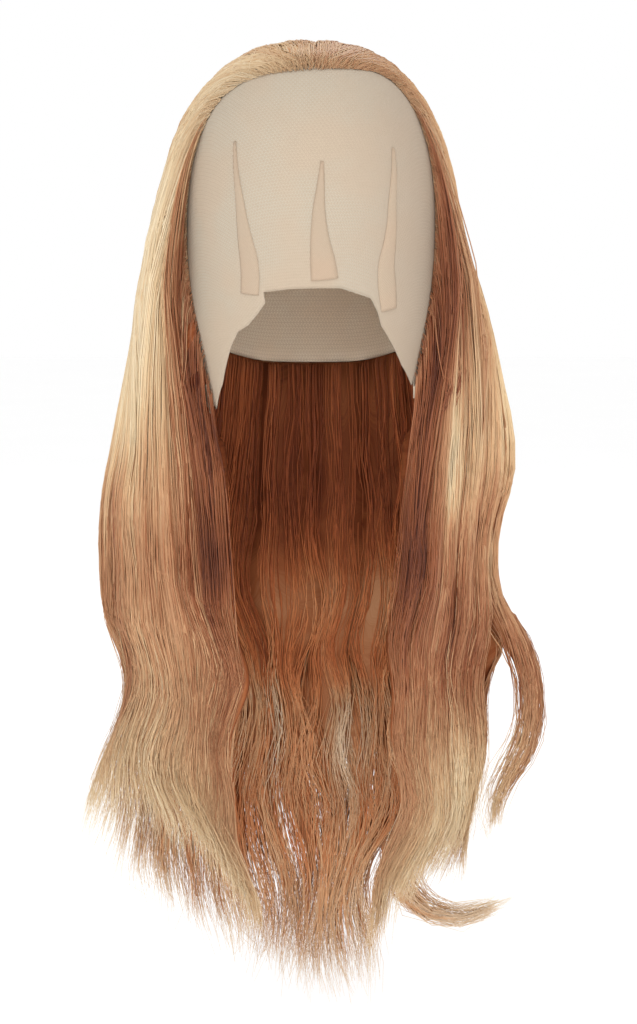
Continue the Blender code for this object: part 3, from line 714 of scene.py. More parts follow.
def nape_lock_rows():
    """The cross-sections of the inner curtain's locks: (locks, rows, 5, 3)."""
    count = len(NAPE_TIPS)
    step = 2 * NAPE_SPAN / count
    found = []
    for k, tip in enumerate(NAPE_TIPS):
        rows = []
        u_mid = -NAPE_SPAN + step * (k + 0.5)
        for r in range(NAPE_ROWS + 1):
            free = max(0.0, (r - NAPE_JOINED) / (NAPE_ROWS - NAPE_JOINED))
            half = step / 2 * (1 - 0.88 * free ** 1.1)
            left = nape_point(u_mid - half, r, tip * MM)
            right = nape_point(u_mid + half, r, tip * MM)
            mid = nape_point(u_mid, r, tip * MM)
            rise = 1.2 * MM * min(1.0, r / 2)
            rows.append((left[0], mid[0] + mid[2] * rise, right[0], left[1], right[1]))
        found.append(rows)
    return np.array(found)


def seam_fraction(u):
    """How far along its path from hairline to nape the cap's front edge lies."""
    way = swept(u[:, None].repeat(60, 1), np.linspace(0, 1, 60)[None].repeat(len(u), 0))
    length = lengths_along(on_head(way, np.zeros(way.shape[:-1])))[:, -1]
    return np.minimum(0.45, SEAM_BACK / length), length


def closed_area(points, faces):
    """Half the area of a thin closed shell, which is its sheet's own area."""
    total = 0.0
    for face in faces:
        corners = points[list(face)]
        for i in range(1, len(face) - 1):
            total += np.linalg.norm(np.cross(corners[i] - corners[0], corners[i + 1] - corners[0])) / 2
    return total / 2


class Locks:
    """A row of locks side by side, each section as left, crest, right, low left and low right."""

    PER_ROW = 4

    def __init__(self, rows, joined, base, patches, stray=()):
        count, self.row_count = rows.shape[:2]
        self.joined = joined
        self.last = self.row_count - 1
        self.base = base
        self.patches = patches
        self.count = count
        fine = np.linspace(0, self.last, self.last * self.PER_ROW + 1)
        flat = rows.transpose(1, 0, 2, 3).reshape(self.row_count, -1)
        smooth = spline(fine, np.arange(self.row_count), flat)
        self.fine = smooth.reshape(len(fine), count, 5, 3).transpose(1, 0, 2, 3)
        self.fine_rows = fine
        self.flow(stray)
        self.run = lengths_along(self.fine[:, :, 1])
        self.stray = np.isin(np.arange(count), list(stray))

    def flow(self, stray):
        """Bends the falling locks sideways in long soft waves, so that they don't hang as straight bars."""
        z = self.fine[..., 2]
        centre = (np.arange(self.count) + 0.5)[:, None, None]
        u = (centre + np.array((-0.5, 0.0, 0.5, -0.5, 0.5))) / self.count * 2 - 1
        size = 7.0 * MM * np.clip((-0.26 - z) / 0.13, 0, 1)
        for number in stray:
            size[number] *= np.clip((self.joined - self.fine_rows) / 6, 0, 1)[:, None]
        turn = 2 * math.pi * (-z / 0.17) + 2.4 * np.sin(2.7 * u + 0.6) + 1.1 * np.sin(7.0 * u)
        shift = size * (np.sin(turn) + 0.35 * np.sin(2.3 * turn + 9 * u))
        across = unit(self.fine[:, :, 2] - self.fine[:, :, 0])
        self.fine = self.fine + across[:, :, None] * shift[..., None]

    def section(self, k, r):
        f = np.asarray(r) * self.PER_ROW
        i = np.clip(np.floor(f).astype(int), 0, self.fine.shape[1] - 2)
        part = (f - i)[..., None, None]
        return self.fine[k, i] * (1 - part) + self.fine[k, i + 1] * part

    def place(self, k, r, v, d, mix):
        """Points of strands at lock k, row r, v across and d into the lock, spread over the gaps by mix."""
        k = np.broadcast_to(k, r.shape)
        left, mid, right, low_left, low_right = np.moveaxis(self.section(k, r), -2, 0)
        v = v[..., None]
        d = d[..., None]
        outer = 0.5 * v * (v - 1) * left + (1 - v * v) * mid + 0.5 * v * (v + 1) * right
        inner = low_left * (1 - v) / 2 + low_right * (1 + v) / 2
        across = unit(right - left)
        wall = mid - (low_left + low_right) / 2
        out = unit(wall)
        base = outer * (1 - d) + inner * d
        other = np.clip(k + np.where(v[..., 0] < 0, -1, 1), 0, self.count - 1)
        near = self.section(other, r)[..., 1, :]
        sheet = mid + (near - mid) * np.abs(v) / 2 - wall * d
        free = np.clip((r - self.joined) / 3, 0, 1) * mix
        free = np.where(self.stray[k] | self.stray[other], 0, free)[..., None]
        return base * (1 - free) + sheet * free, across, out

    def tone(self, q, r):
        """Tone of the hair at row r, q locks from the left, with its patches, some of them painted light and
        painted shade.
        """
        r = np.asarray(r) * TONE_ROWS[-1] / self.last
        u = np.asarray(q) / self.count * 2 - 1
        tone = np.interp(r, TONE_ROWS, self.base)
        for at_u, at_r, wide, long, change in self.patches:
            tone = tone + change * np.exp(-((u - at_u) / wide) ** 2 - ((r - at_r) / long) ** 2)
        return tone

    def rows_evenly(self, k, start, end, points):
        """Rows along each lock between two of its rows, close together at the first: (strands, points)."""
        t = np.linspace(0, 1, points)
        share = t - 0.9 * t * (1 - t) ** 3
        found = np.empty((len(k), points))
        for i, lock in enumerate(k):
            a, b = np.interp((start[i], end[i]), self.fine_rows, self.run[lock])
            found[i] = np.interp(a + (b - a) * share, self.run[lock], self.fine_rows)
        found[:, 0] = start
        found[:, -1] = end
        return found


# Shaders

class Value:
    """A node socket with arithmetic: each operation on it adds a Math node."""

    def __init__(self, tree, socket=None):
        self.tree = tree
        self.socket = socket

    def make(self, kind, settings=None, sockets=None, out=0):
        """Adds a node: its settings first, then the values or links of its sockets."""
        node = self.tree.nodes.new(kind)
        for name, value in (settings or {}).items():
            if name == "stops":
                for stop in value[2:]:
                    node.color_ramp.elements.new(stop[0])
                for element, stop in zip(node.color_ramp.elements, value):
                    element.position = stop[0]
                    element.color = stop[1]
            else:
                setattr(node, name, value)
        for key, value in (sockets or {}).items():
            if isinstance(value, Value):
                self.tree.links.new(value.socket, node.inputs[key])
            else:
                node.inputs[key].default_value = value
        return Value(self.tree, node.outputs[out])

    def maths(self, operation, *others):
        """A Math node on this socket and the others."""
        return self.make("ShaderNodeMath", {"operation": operation}, dict(enumerate((self, *others))))

    def __add__(self, other):
        return self.maths("ADD", other)

    def __sub__(self, other):
        return self.maths("SUBTRACT", other)

    def __rsub__(self, other):
        return self * -1.0 + other

    def __mul__(self, other):
        return self.maths("MULTIPLY", other)

    __radd__ = __add__
    __rmul__ = __mul__

    def above(self, low, high):
        """0 below low, 1 above high, smooth between."""
        settings = {"interpolation_type": "SMOOTHSTEP"}
        return self.make("ShaderNodeMapRange", settings, {0: self, 1: low, 2: high, 3: 0.0, 4: 1.0})

    def blend(self, low, high):
        """The colour low where this is 0 and high where it is 1."""
        return self.make("ShaderNodeMix", {"data_type": "RGBA"}, {0: self, 6: low, 7: high}, 2)


def colour(red, green, blue):
    """A colour from its 0 to 255 numbers."""
    parts = [c / 255 for c in (red, green, blue)]
    return tuple(c / 12.92 if c <= 0.04045 else ((c + 0.055) / 1.055) ** 2.4 for c in parts) + (1.0,)


def new_material(name):
    """A node material with one Principled shader: the material, a socket to build from and the shader."""
    made = bpy.data.materials.new(name)
    made.use_nodes = True
    shader = made.node_tree.nodes["Principled BSDF"]
    return made, Value(made.node_tree), shader


def feed(shader, name, value):
    """Gives one input of the shader a value or a link."""
    if isinstance(value, Value):
        value.tree.links.new(value.socket, shader.inputs[name])
    else:
        shader.inputs[name].default_value = value


def hair_material(name, colours, roughness, shine):
    """Hair: the map's first number is its tone and the second how far down the strand it is."""
    made, build, shader = new_material(name)
    place = build.make("ShaderNodeUVMap", {"uv_map": MAP})
    tone = build.make("ShaderNodeSeparateXYZ", None, {0: place}, 0)
    along = build.make("ShaderNodeSeparateXYZ", None, {0: place}, 1)
    grain = build.make("ShaderNodeMapping", None, {0: place, "Scale": (170.0, 5.0, 1.0)})
    flat = {"noise_dimensions": "2D"}
    noise = build.make("ShaderNodeTexNoise", flat, {"Vector": grain, "Scale": 1.0, "Detail": 2.0})
    stops = [(at, colour(*rgb)) for at, rgb in colours]
    shade = build.make("ShaderNodeValToRGB", {"stops": stops}, {0: tone + (noise - 0.5) * 0.14})
    root = 1.0 - along.above(0.0, 0.07)
    feed(shader, "Base Color", (root * 0.35).blend(shade, colour(104, 60, 38)))
    feed(shader, "Roughness", noise * 0.2 + (roughness - 0.1))
    feed(shader, "Specular IOR Level", shine)
    return made


def net_material(name, base, thread, warm, cell, opacity, right_shade=None):
    """Sewn net: cells between threads, darker where threads cross, warmer in soft patches, and darker over
    its right side as painted shade when given a last colour.
    """
    made, build, shader = new_material(name)
    place = build.make("ShaderNodeUVMap", {"uv_map": MAP})
    across = build.make("ShaderNodeSeparateXYZ", None, {0: place}, 0)
    down = build.make("ShaderNodeSeparateXYZ", None, {0: place}, 1)
    object_place = build.make("ShaderNodeTexCoord", None, None, 3)
    slope_a = (across + down * 0.58) * cell
    slope_b = (across - down * 0.58) * cell
    level = down * (cell * 1.16)
    lines = None
    for value in (slope_a, slope_b, level):
        line = (value.maths("FRACT") - 0.5).maths("ABSOLUTE").above(0.30, 0.46)
        lines = line if lines is None else lines.maths("MAXIMUM", line)
    soft = build.make("ShaderNodeTexNoise", None, {"Vector": object_place, "Scale": 26.0, "Detail": 3.0})
    fine = build.make("ShaderNodeTexNoise", None, {"Vector": object_place, "Scale": 900.0, "Detail": 2.0})
    ground = soft.above(0.36, 0.66).blend(base, warm)
    # Painted shade: the lace is darker over its right side
    if right_shade is not None:
        x = build.make("ShaderNodeSeparateXYZ", None, {0: object_place}, 0)
        ground = (x.above(0.0, 0.075) * 0.75).blend(ground, right_shade)
    shade = (lines * (fine * 0.5 + 0.6)).blend(ground, thread)
    feed(shader, "Base Color", shade)
    feed(shader, "Roughness", fine * 0.2 + 0.62)
    if opacity < 1.0:
        feed(shader, "Alpha", lines * (1.0 - opacity) + opacity)
    bump = build.make("ShaderNodeBump", None, {"Strength": 0.35, "Distance": 0.0004, "Height": lines})
    feed(shader, "Normal", bump)
    feed(shader, "Specular IOR Level", 0.2)
    return made


def thread_material():
    """Sewing thread, a little darker than the lace, with the twist of its strands."""
    made, build, shader = new_material("thread")
    place = build.make("ShaderNodeUVMap", {"uv_map": MAP})
    along = build.make("ShaderNodeSeparateXYZ", None, {0: place}, 1)
    twist = ((along * 9.0).maths("FRACT") - 0.5).maths("ABSOLUTE").above(0.1, 0.4)
    feed(shader, "Base Color", twist.blend(colour(196, 176, 152), colour(178, 156, 134)))
    feed(shader, "Roughness", twist * 0.15 + 0.6)
    feed(shader, "Specular IOR Level", 0.2)
    return made


def floor_material():
    """Nearly white and matt."""
    made, build, shader = new_material("floor")
    place = build.make("ShaderNodeTexCoord", None, None, 3)
    noise = build.make("ShaderNodeTexNoise", None, {"Vector": place, "Scale": 3.0, "Detail": 2.0})
    feed(shader, "Base Color", noise.blend(colour(253, 253, 253), colour(255, 255, 255)))
    feed(shader, "Roughness", noise * 0.1 + 0.8)
    return made


# Meshes and Geometry Nodes

def link_piece(name, mesh):
    """Puts a mesh into the scene as a piece that rides on the root body."""
    obj = bpy.data.objects.new(name, mesh)
    bpy.context.scene.collection.objects.link(obj)
    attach(obj, "root")
    return obj


def new_piece(name, points, faces, places, material):
    """A finished mesh piece. places gives a map position for each corner of each face."""
    mesh = bpy.data.meshes.new(name)
    mesh.from_pydata(np.asarray(points).tolist(), [], faces)
    layer = mesh.uv_layers.new(name=MAP)
    layer.uv.foreach_set("vector", np.asarray(places, np.float32).ravel())
    mesh.materials.append(material)
    mesh.shade_smooth()
    mesh.update()
    return link_piece(name, mesh)


def shell_piece(name, inner, outer, material):
    """A closed wall between two grids of points, mapped across and down."""
    rows, columns = outer.shape[:2]
    count = rows * columns
    points = np.concatenate((outer.reshape(-1, 3), inner.reshape(-1, 3)))
    across = lengths_along(outer[rows // 2][None])[0]
    down = lengths_along(outer[:, columns // 2][None])[0]
    scale = 0.96 / max(across[-1], down[-1])
    places = []
    faces = []

    def spot(index):
        row, column = divmod(index % count, columns)
        return (0.02 + across[column] * scale, 0.02 + down[row] * scale)

    def face(*corners):
        faces.append(corners)
        places.extend(spot(i) for i in corners)

    for r in range(rows - 1):
        for c in range(columns - 1):
            i = r * columns + c
            face(i, i + 1, i + columns + 1, i + columns)
            j = i + count
            face(j, j + columns, j + columns + 1, j + 1)
    rim = [(0, c) for c in range(columns)]
    rim += [(r, columns - 1) for r in range(1, rows)]
    rim += [(rows - 1, c) for c in range(columns - 2, -1, -1)]
    rim += [(r, 0) for r in range(rows - 2, 0, -1)]
    for (r0, c0), (r1, c1) in zip(rim, rim[1:] + rim[:1]):
        a, b = r0 * columns + c0, r1 * columns + c1
        face(a, a + count, b + count, b)
    return new_piece(name, points, faces, places, material), closed_area(points, faces)


def strand_tree():
    """Node group that turns edges into thin tubes, with the tone and the length mapped on them."""
    tree = bpy.data.node_groups.new("strand tubes", "GeometryNodeTree")
    for name, kind, way, default in (
        ("Lines", "Geometry", "INPUT", None),
        ("Sides", "Int", "INPUT", 3),
        ("Thickness", "Float", "INPUT", 1.0),
        ("Material", "Material", "INPUT", None),
        ("Tubes", "Geometry", "OUTPUT", None),
    ):
        socket = tree.interface.new_socket(name, in_out=way, socket_type="NodeSocket" + kind)
        if default is not None:
            socket.default_value = default
    build = Value(tree)
    start = tree.nodes.new("NodeGroupInput").outputs

    def given(name):
        return Value(tree, start[name])

    def read(name):
        settings = {"data_type": "FLOAT"}
        return build.make("GeometryNodeInputNamedAttribute", settings, {"Name": name}, "Attribute")

    def store(geometry, name, value, kind, domain):
        settings = {"data_type": kind, "domain": domain}
        sockets = {"Geometry": geometry, "Name": name, "Value": value}
        return build.make("GeometryNodeStoreNamedAttribute", settings, sockets)

    curve = build.make("GeometryNodeMeshToCurve", None, {"Mesh": given("Lines")})
    sockets = {"Radius": 1.0, "Resolution": given("Sides")}
    circle = build.make("GeometryNodeCurvePrimitiveCircle", None, sockets)
    circle = store(circle, "rim", build.make("GeometryNodeInputIndex") * RIM_STEP, "FLOAT", "POINT")
    sockets = {
        "Curve": curve,
        "Profile Curve": circle,
        "Scale": read("radius_mm") * given("Thickness") * MM,
        "Fill Caps": True,
    }
    tube = build.make("GeometryNodeCurveToMesh", None, sockets)
    place = build.make("ShaderNodeCombineXYZ", None, {0: read("tone") + read("rim"), 1: read("along")})
    tube = store(tube, MAP, place, "FLOAT2", "CORNER")
    tube = build.make("GeometryNodeSetShadeSmooth", None, {"Geometry": tube})
    tube = build.make("GeometryNodeRealizeInstances", None, {"Geometry": tube})
    tube = build.make("GeometryNodeSetMaterial", None, {"Geometry": tube, "Material": given("Material")})
    tree.links.new(tube.socket, tree.nodes.new("NodeGroupOutput").inputs["Tubes"])
    return tree


def tubes(name, bundles, material, thickness=1.0, sides=3):
    """One mesh of tubes along bundles of lines: each bundle is points, radii in mm, tones and lengths."""
    points = np.concatenate([b[0].reshape(-1, 3) for b in bundles])
    numbers = {
        "radius_mm": np.concatenate([b[1].ravel() for b in bundles]),
        "tone": np.concatenate([b[2].ravel() for b in bundles]),
        "along": np.concatenate([b[3].ravel() for b in bundles]),
    }
    edges = []
    start = 0
    for bundle in bundles:
        lines, length = bundle[0].shape[:2]
        grid = start + np.arange(lines * length).reshape(lines, length)
        edges.append(np.stack((grid[:, :-1].ravel(), grid[:, 1:].ravel()), -1))
        start += lines * length
    edges = np.concatenate(edges)
    mesh = bpy.data.meshes.new(name + "_lines")
    mesh.vertices.add(len(points))
    mesh.vertices.foreach_set("co", points.astype(np.float32).ravel())
    mesh.edges.add(len(edges))
    mesh.edges.foreach_set("vertices", edges.astype(np.int32).ravel())
    for key, values in numbers.items():
        mesh.attributes.new(key, "FLOAT", "POINT").data.foreach_set("value", values.astype(np.float32))
    mesh.update()
    source = bpy.data.objects.new(name + "_lines", mesh)
    bpy.context.scene.collection.objects.link(source)
    tree = bpy.data.node_groups.get("strand tubes") or strand_tree()
    modifier = source.modifiers.new("tubes", "NODES")
    modifier.node_group = tree
    inputs = {s.name: s.identifier for s in tree.interface.items_tree if s.in_out == "INPUT"}
    modifier[inputs["Sides"]] = sides
    modifier[inputs["Thickness"]] = thickness
    modifier[inputs["Material"]] = material
    graph = bpy.context.evaluated_depsgraph_get()
    shaped = source.evaluated_get(graph)
    made = bpy.data.meshes.new_from_object(shaped, preserve_all_data_layers=True, depsgraph=graph)
    bpy.data.objects.remove(source, do_unlink=True)
    bpy.data.meshes.remove(mesh)
    for key in ("radius_mm", "tone", "along", "rim"):
        if key in made.attributes:
            made.attributes.remove(made.attributes[key])
    made.name = name
    return link_piece(name, made)


# Hair

OUTER = Locks(all_lock_rows(), JOINED, TONE_BASE, TONE_PATCHES, STRAY_LOCKS)
NAPE = Locks(nape_lock_rows(), NAPE_JOINED, NAPE_BASE, NAPE_PATCHES)


def under_sheet(locks, first, last, seed):
    """The body of the locks under their strands, as fine closed tubes of a lens-like section."""
    rng = np.random.default_rng(seed)
    r = np.linspace(0.12 if locks.joined == JOINED else 0.0, locks.last - 1.5, locks.last * 3 + 1)
    v = np.linspace(-1, 1, 9)
    slim = 0.9 * np.clip((r - locks.joined - 1) / (locks.last - 3.5 - locks.joined), 0, 1)[:, None, None]
    faces = []
    places = []
    points = []
    for k in range(first, last):
        left, mid, right, low_left, low_right = np.moveaxis(locks.section(np.full(len(r), k), r), -2, 0)
        w = v[None, :, None]
        sides = 0.5 * w * (w - 1) * left[:, None] + 0.5 * w * (w + 1) * right[:, None]
        top = sides + (1 - w * w) * mid[:, None]
        x = np.array((1.0, 0.34, -0.34, -1.0))[None, :, None]
        low = low_left[:, None] * (1 - x) / 2 + low_right[:, None] * (1 + x) / 2
        ring = np.concatenate((top, low), 1)
        core = ring.mean(1, keepdims=True)
        by_ear = np.clip(abs((k + 0.5) / locks.count * 2 - 1) * 5 - 3.6, 0, 1) * (locks.joined == JOINED)
        thin = np.maximum(slim, 0.75 * by_ear * np.clip(1 - r / 12, 0, 1)[:, None, None])
        thin = np.maximum(thin, 0.5 * np.clip(1 - r / 3, 0, 1)[:, None, None] * (locks.joined == JOINED))
        ring = core + (ring - core) * (1 - thin)
        around = ring.shape[1]
        start = len(points)
        points.extend(ring.reshape(-1, 3))
        bands = rng.normal(0, 0.05, around)[None, :] + rng.normal(0, 0.02, (len(r), around))
        # Painted shade: the body is darker than its strands so the gaps between them read as shadow, and
        # darker still by the ears near the roots
        tone = 0.9 * locks.tone(k + 0.5, r)[:, None] - 0.07 + bands
        tone = np.clip(tone - 0.3 * by_ear * np.clip(1 - r / 12, 0, 1)[:, None], 0.02, 0.96)
        along = 0.03 + 0.94 * r / locks.last

        def face(*corners):
            faces.append([start + i * around + j % around for i, j in corners])
            places.extend((tone[i, j % around], along[i]) for i, j in corners)

        for i in range(len(r) - 1):
            for j in range(around):
                face((i, j), (i, j + 1), (i + 1, j + 1), (i + 1, j))
        face(*[(0, j) for j in range(around - 1, -1, -1)])
        face(*[(len(r) - 1, j) for j in range(around)])
    return np.array(points), faces, places


def wave(rng, run, lines, short, long):
    """A smooth wave along each line: run in metres, wavelengths between short and long."""
    total = 0.0
    for share in (1.0, 0.5):
        length = rng.uniform(short, long, lines)[:, None] * share
        total = total + share * np.sin(2 * math.pi * (run / length + rng.uniform(0, 1, lines)[:, None]))
    return total / 1.5


def bridge(rng, ends, u, roots, arch, count):
    """Lines from the hairline, down past the ear, to where the hanging hair begins."""
    jitter = 0.025 if roots is BRIDGE else 0.05
    u_root = np.sign(u) * np.interp(np.abs(u), *roots) + rng.normal(0, jitter, len(u))
    u_root = np.clip(u_root, -0.99, 0.99)
    w = np.linspace(0, 1, count) ** 1.25
    first = root_way(u_root)[:, None].repeat(count, 1)
    last = unit(ends - HEAD_CENTRE)[:, None].repeat(count, 1)
    way = turned(first, last, w[None].repeat(len(u), 0))
    bare = np.linalg.norm(on_head(way, np.zeros(way.shape[:-1])) - HEAD_CENTRE, axis=-1)
    reach = np.linalg.norm(ends - HEAD_CENTRE, axis=-1)[:, None] - bare[:, -1:]
    span = np.linalg.norm(root_way(u_root) - unit(ends - HEAD_CENTRE), axis=-1)[:, None]
    arch = rng.uniform(0.25, 1.0, len(u))[:, None] * np.minimum(arch, 12.0 * span) * MM
    lift = 1.4 * MM * (1 - w) + reach * w ** 2.6 + arch * np.sin(math.pi * w) ** 0.8
    return HEAD_CENTRE + way * (bare + lift)[..., None]


def streaked(pick, tone, down, group, groups):
    """The tones with each clump's own shift, and a pale or dark streak in about one clump of three."""
    tone = tone + pick.normal(0, 0.045, groups)[group][:, None]
    streak = pick.uniform(0, 1, groups)[group][:, None]
    streak_from = pick.uniform(0.2, 0.9, groups)[group][:, None]
    streak_at = np.clip(1.4 - np.abs(down - streak_from) * 3, 0, 1)
    tone = tone + np.where(streak < 0.16, 0.15, np.where(streak > 0.84, -0.13, 0.0)) * streak_at
    return np.clip(tone, 0.02, 0.95)


def strands(locks, first, last, settings, seed, form):
    """Lines of one kind of strand: points, radii in mm, tones and lengths."""
    rng = np.random.default_rng(seed)
    per_lock, length = form["per_lock"], form["points"]
    k = np.repeat(np.arange(first, last), per_lock)
    lines = len(k)
    # Strands of one clump share their place across the lock, and part of their length and waves
    clumps = form["clumps"]
    clump = rng.integers(0, clumps, lines)
    group = (k - first) * clumps + clump
    groups = (last - first) * clumps
    centre = ((clump + 0.5) / clumps * 2 - 1) + rng.uniform(-0.5, 0.5, groups)[group] / clumps
    offset = rng.normal(0, 0.5, lines) / clumps
    # First and last row of each strand
    by_ear = form["hang"] & (np.abs((k + 0.5) / locks.count * 2 - 1) > BY_EAR)
    start = np.where(
        (rng.uniform(0, 1, lines) < form["late"]) | by_ear,
        rng.uniform(np.where(by_ear, EAR_ROW, form["start"]), form["late_to"], lines),
        form["start"] + rng.uniform(*form["ragged"], lines),
    )
    short = form["short"] * rng.beta(1.0, 2.2, lines)
    short = short + 0.45 * form["short"] * rng.beta(1.2, 2.0, groups)[group]
    short = short * np.where(k == HOOK, 0.25, np.where(locks.stray[k], 0.4, 1))
    end = locks.last + form["reach"] - short * (locks.last - locks.joined)
    end = np.maximum(end, start + 1.5)
    r = locks.rows_evenly(k, start, np.minimum(end, locks.last), length)
    over = np.maximum(end - locks.last, 0)[:, None]
    r = r + over * np.clip((r - locks.joined) / (locks.last - locks.joined), 0, 1) ** 2
    at = np.clip(r, 0, locks.last)
    run = np.stack([np.interp(row, locks.fine_rows, locks.run[lock]) for row, lock in zip(at, k)])
    share = (run - run[:, :1]) / np.maximum(run[:, -1:] - run[:, :1], 1e-6)
    free = np.clip((r - 0.6 * locks.joined) / (locks.last - 0.6 * locks.joined), 0, 1)
    # Place across the lock (v), depth into it (d) and height over it (lift)
    gather = 1.5 - 0.1 * free
    v = centre[:, None] + offset[:, None] * gather
    v = v + rng.normal(0, form["stray"], lines)[:, None] * free ** 1.6
    v = v * (1 + np.where(k == HOOK, 1.1, np.where(locks.stray[k], 0.4, 0))[:, None] * free)
    rooted = (start < 0.5)[:, None]
    grow = np.clip((r - start[:, None]) / np.where(rooted, form["grow"], 1.3), 0, 1)
    if form["inner"]:
        d = np.full(r.shape, 1.0)
        lift = -(0.15 + rng.uniform(0, form["lift"], lines))[:, None] * grow
    else:
        d = np.where(rooted, 1 - grow, 0.35 * (1 - grow))
        bulge = np.sqrt(np.clip(1 - (offset * clumps / 1.2) ** 2, 0, 1))
        height = 0.1 + 0.8 * bulge * rng.uniform(0.4, 1.0, groups)[group]
        height = height + rng.uniform(0, form["lift"], lines)
        lift = height[:, None] * grow
    mix = rng.uniform(0.6, 1.3, lines)[:, None] * settings.spread
    v = np.clip(v, -1.35, 1.35)
    lock = np.broadcast_to(k[:, None], r.shape)
    q = lock + (v + 1) / 2
    # Strands from the top start nearer the middle than they fall
    if form["drift"]:
        u = q / locks.count * 2 - 1
        from_top = np.sign(u) * np.interp(np.abs(u), *DRIFT) * rng.uniform(0.8, 1.1, lines)[:, None]
        from_top = from_top + rng.normal(0, 0.035, lines)[:, None]
        q_root = (from_top + 1) / 2 * locks.count
        q = q + (q_root - q) * np.exp(-np.clip(r, 0, None) / form["drift"])
        q = np.clip(q, 0.01, locks.count - 0.01)
        above = r < locks.joined - 4
        lock = np.where(above, np.floor(q), lock).astype(int)
        v = np.where(above, 2 * (q - lock) - 1, v)
    # Strands past the ear follow a way of their own down to the hanging hair
    if form["bridge"]:
        split = BRIDGE_POINTS
        hang = np.full(lines, form["bridge"])
        foot = np.maximum(np.minimum(end, locks.last), hang + 1)
        low = locks.rows_evenly(k, hang, foot, length - split + 1)
        r = np.concatenate((np.linspace(0, form["bridge"], split)[None].repeat(lines, 0), low[:, 1:]), 1)
        at = r
    points, across, out = locks.place(lock, r, v, d, mix)
    if form["bridge"]:
        u = (k + (v[:, 0] + 1) / 2) / locks.count * 2 - 1
        points[:, :split] = bridge(rng, points[:, split - 1], u, form["roots"], form["arch"], split)
        for _ in range(8):
            middle = (points[:, split - 7:split + 3] + points[:, split - 5:split + 5]) / 2
            points[:, split - 6:split + 4] = middle
        run = lengths_along(points)
        share = run / run[:, -1:]
    # Waves that each clump shares, frizz of each strand, and curls at the tips
    env = 0.15 + 0.85 * np.clip((run - form["calm"]) / 0.4, 0, 1)
    rise = np.clip((r - start[:, None]) / (3.0 * form["grow"] / 0.28), 0, 1)
    pick = np.random.default_rng(seed + 1)
    wavelengths = pick.uniform(0.09, 0.17, groups)[group][:, None]
    phase = pick.uniform(0, 1, groups)[group][:, None]
    swing = pick.uniform(0.3, 1.0, groups)[group][:, None]
    sideways = np.sin(2 * math.pi * (run / wavelengths + phase)) * swing
    outward = 0.5 + 0.5 * np.sin(2 * math.pi * (run / (wavelengths * 0.83) + phase * 1.7))
    bend = env * rise
    frizz = settings.frizz * form["frizz"] * bend
    side = form["wave"] * sideways * bend + frizz * wave(rng, run, lines, 0.022, 0.07)
    up = 0.5 * form["wave"] * (outward - 0.6) * bend
    up = up + 0.7 * frizz * (wave(rng, run, lines, 0.03, 0.08) - 0.1)
    up = lift + np.where(form["inner"], -up, up)
    curl = pick.normal(0, 1, groups)[group][:, None] * 5.0 + rng.normal(0, 2.2, lines)[:, None]
    side = side + form["curl"] * curl * free ** 3
    if locks.joined == JOINED:
        u = (k + 0.5) / locks.count * 2 - 1
        up = up + FLICK * np.exp(-((u - FLICK_AT) / FLICK_SPREAD) ** 2)[:, None] * free ** 3
    if form["fly"]:
        fly = rng.uniform(0.2, 1.0, lines)[:, None] * form["fly"]
        up = up + fly * share ** 1.5
        side = side + fly * 0.8 * wave(rng, run, lines, 0.1, 0.25) * share
    points = points + across * (side * MM)[..., None] + out * (up * MM)[..., None]
    tone = locks.tone(q, at) + rng.normal(0, 0.04, lines)[:, None]
    # Painted light: strands on the inside of the locks, and the nape's, are lighter from halfway down, where
    # they hang in shade
    if form["inner"]:
        tone = tone + 0.20 * np.clip((at / locks.last - 0.50) / 0.10, 0, 1)
    tone = streaked(pick, tone, at / locks.last, group, groups)
    # Thinner towards the tip and at the root
    thin = np.clip((1 - share) / 0.30, 0.0, 1) ** 0.7
    root_thin = np.clip(share / 0.03 + 0.45, 0, 1)
    radius = form["radius"] * (0.22 + 0.78 * thin) * root_thin * rng.uniform(0.75, 1.2, lines)[:, None]
    along = 0.02 + 0.96 * share
    return points, radius, tone, along


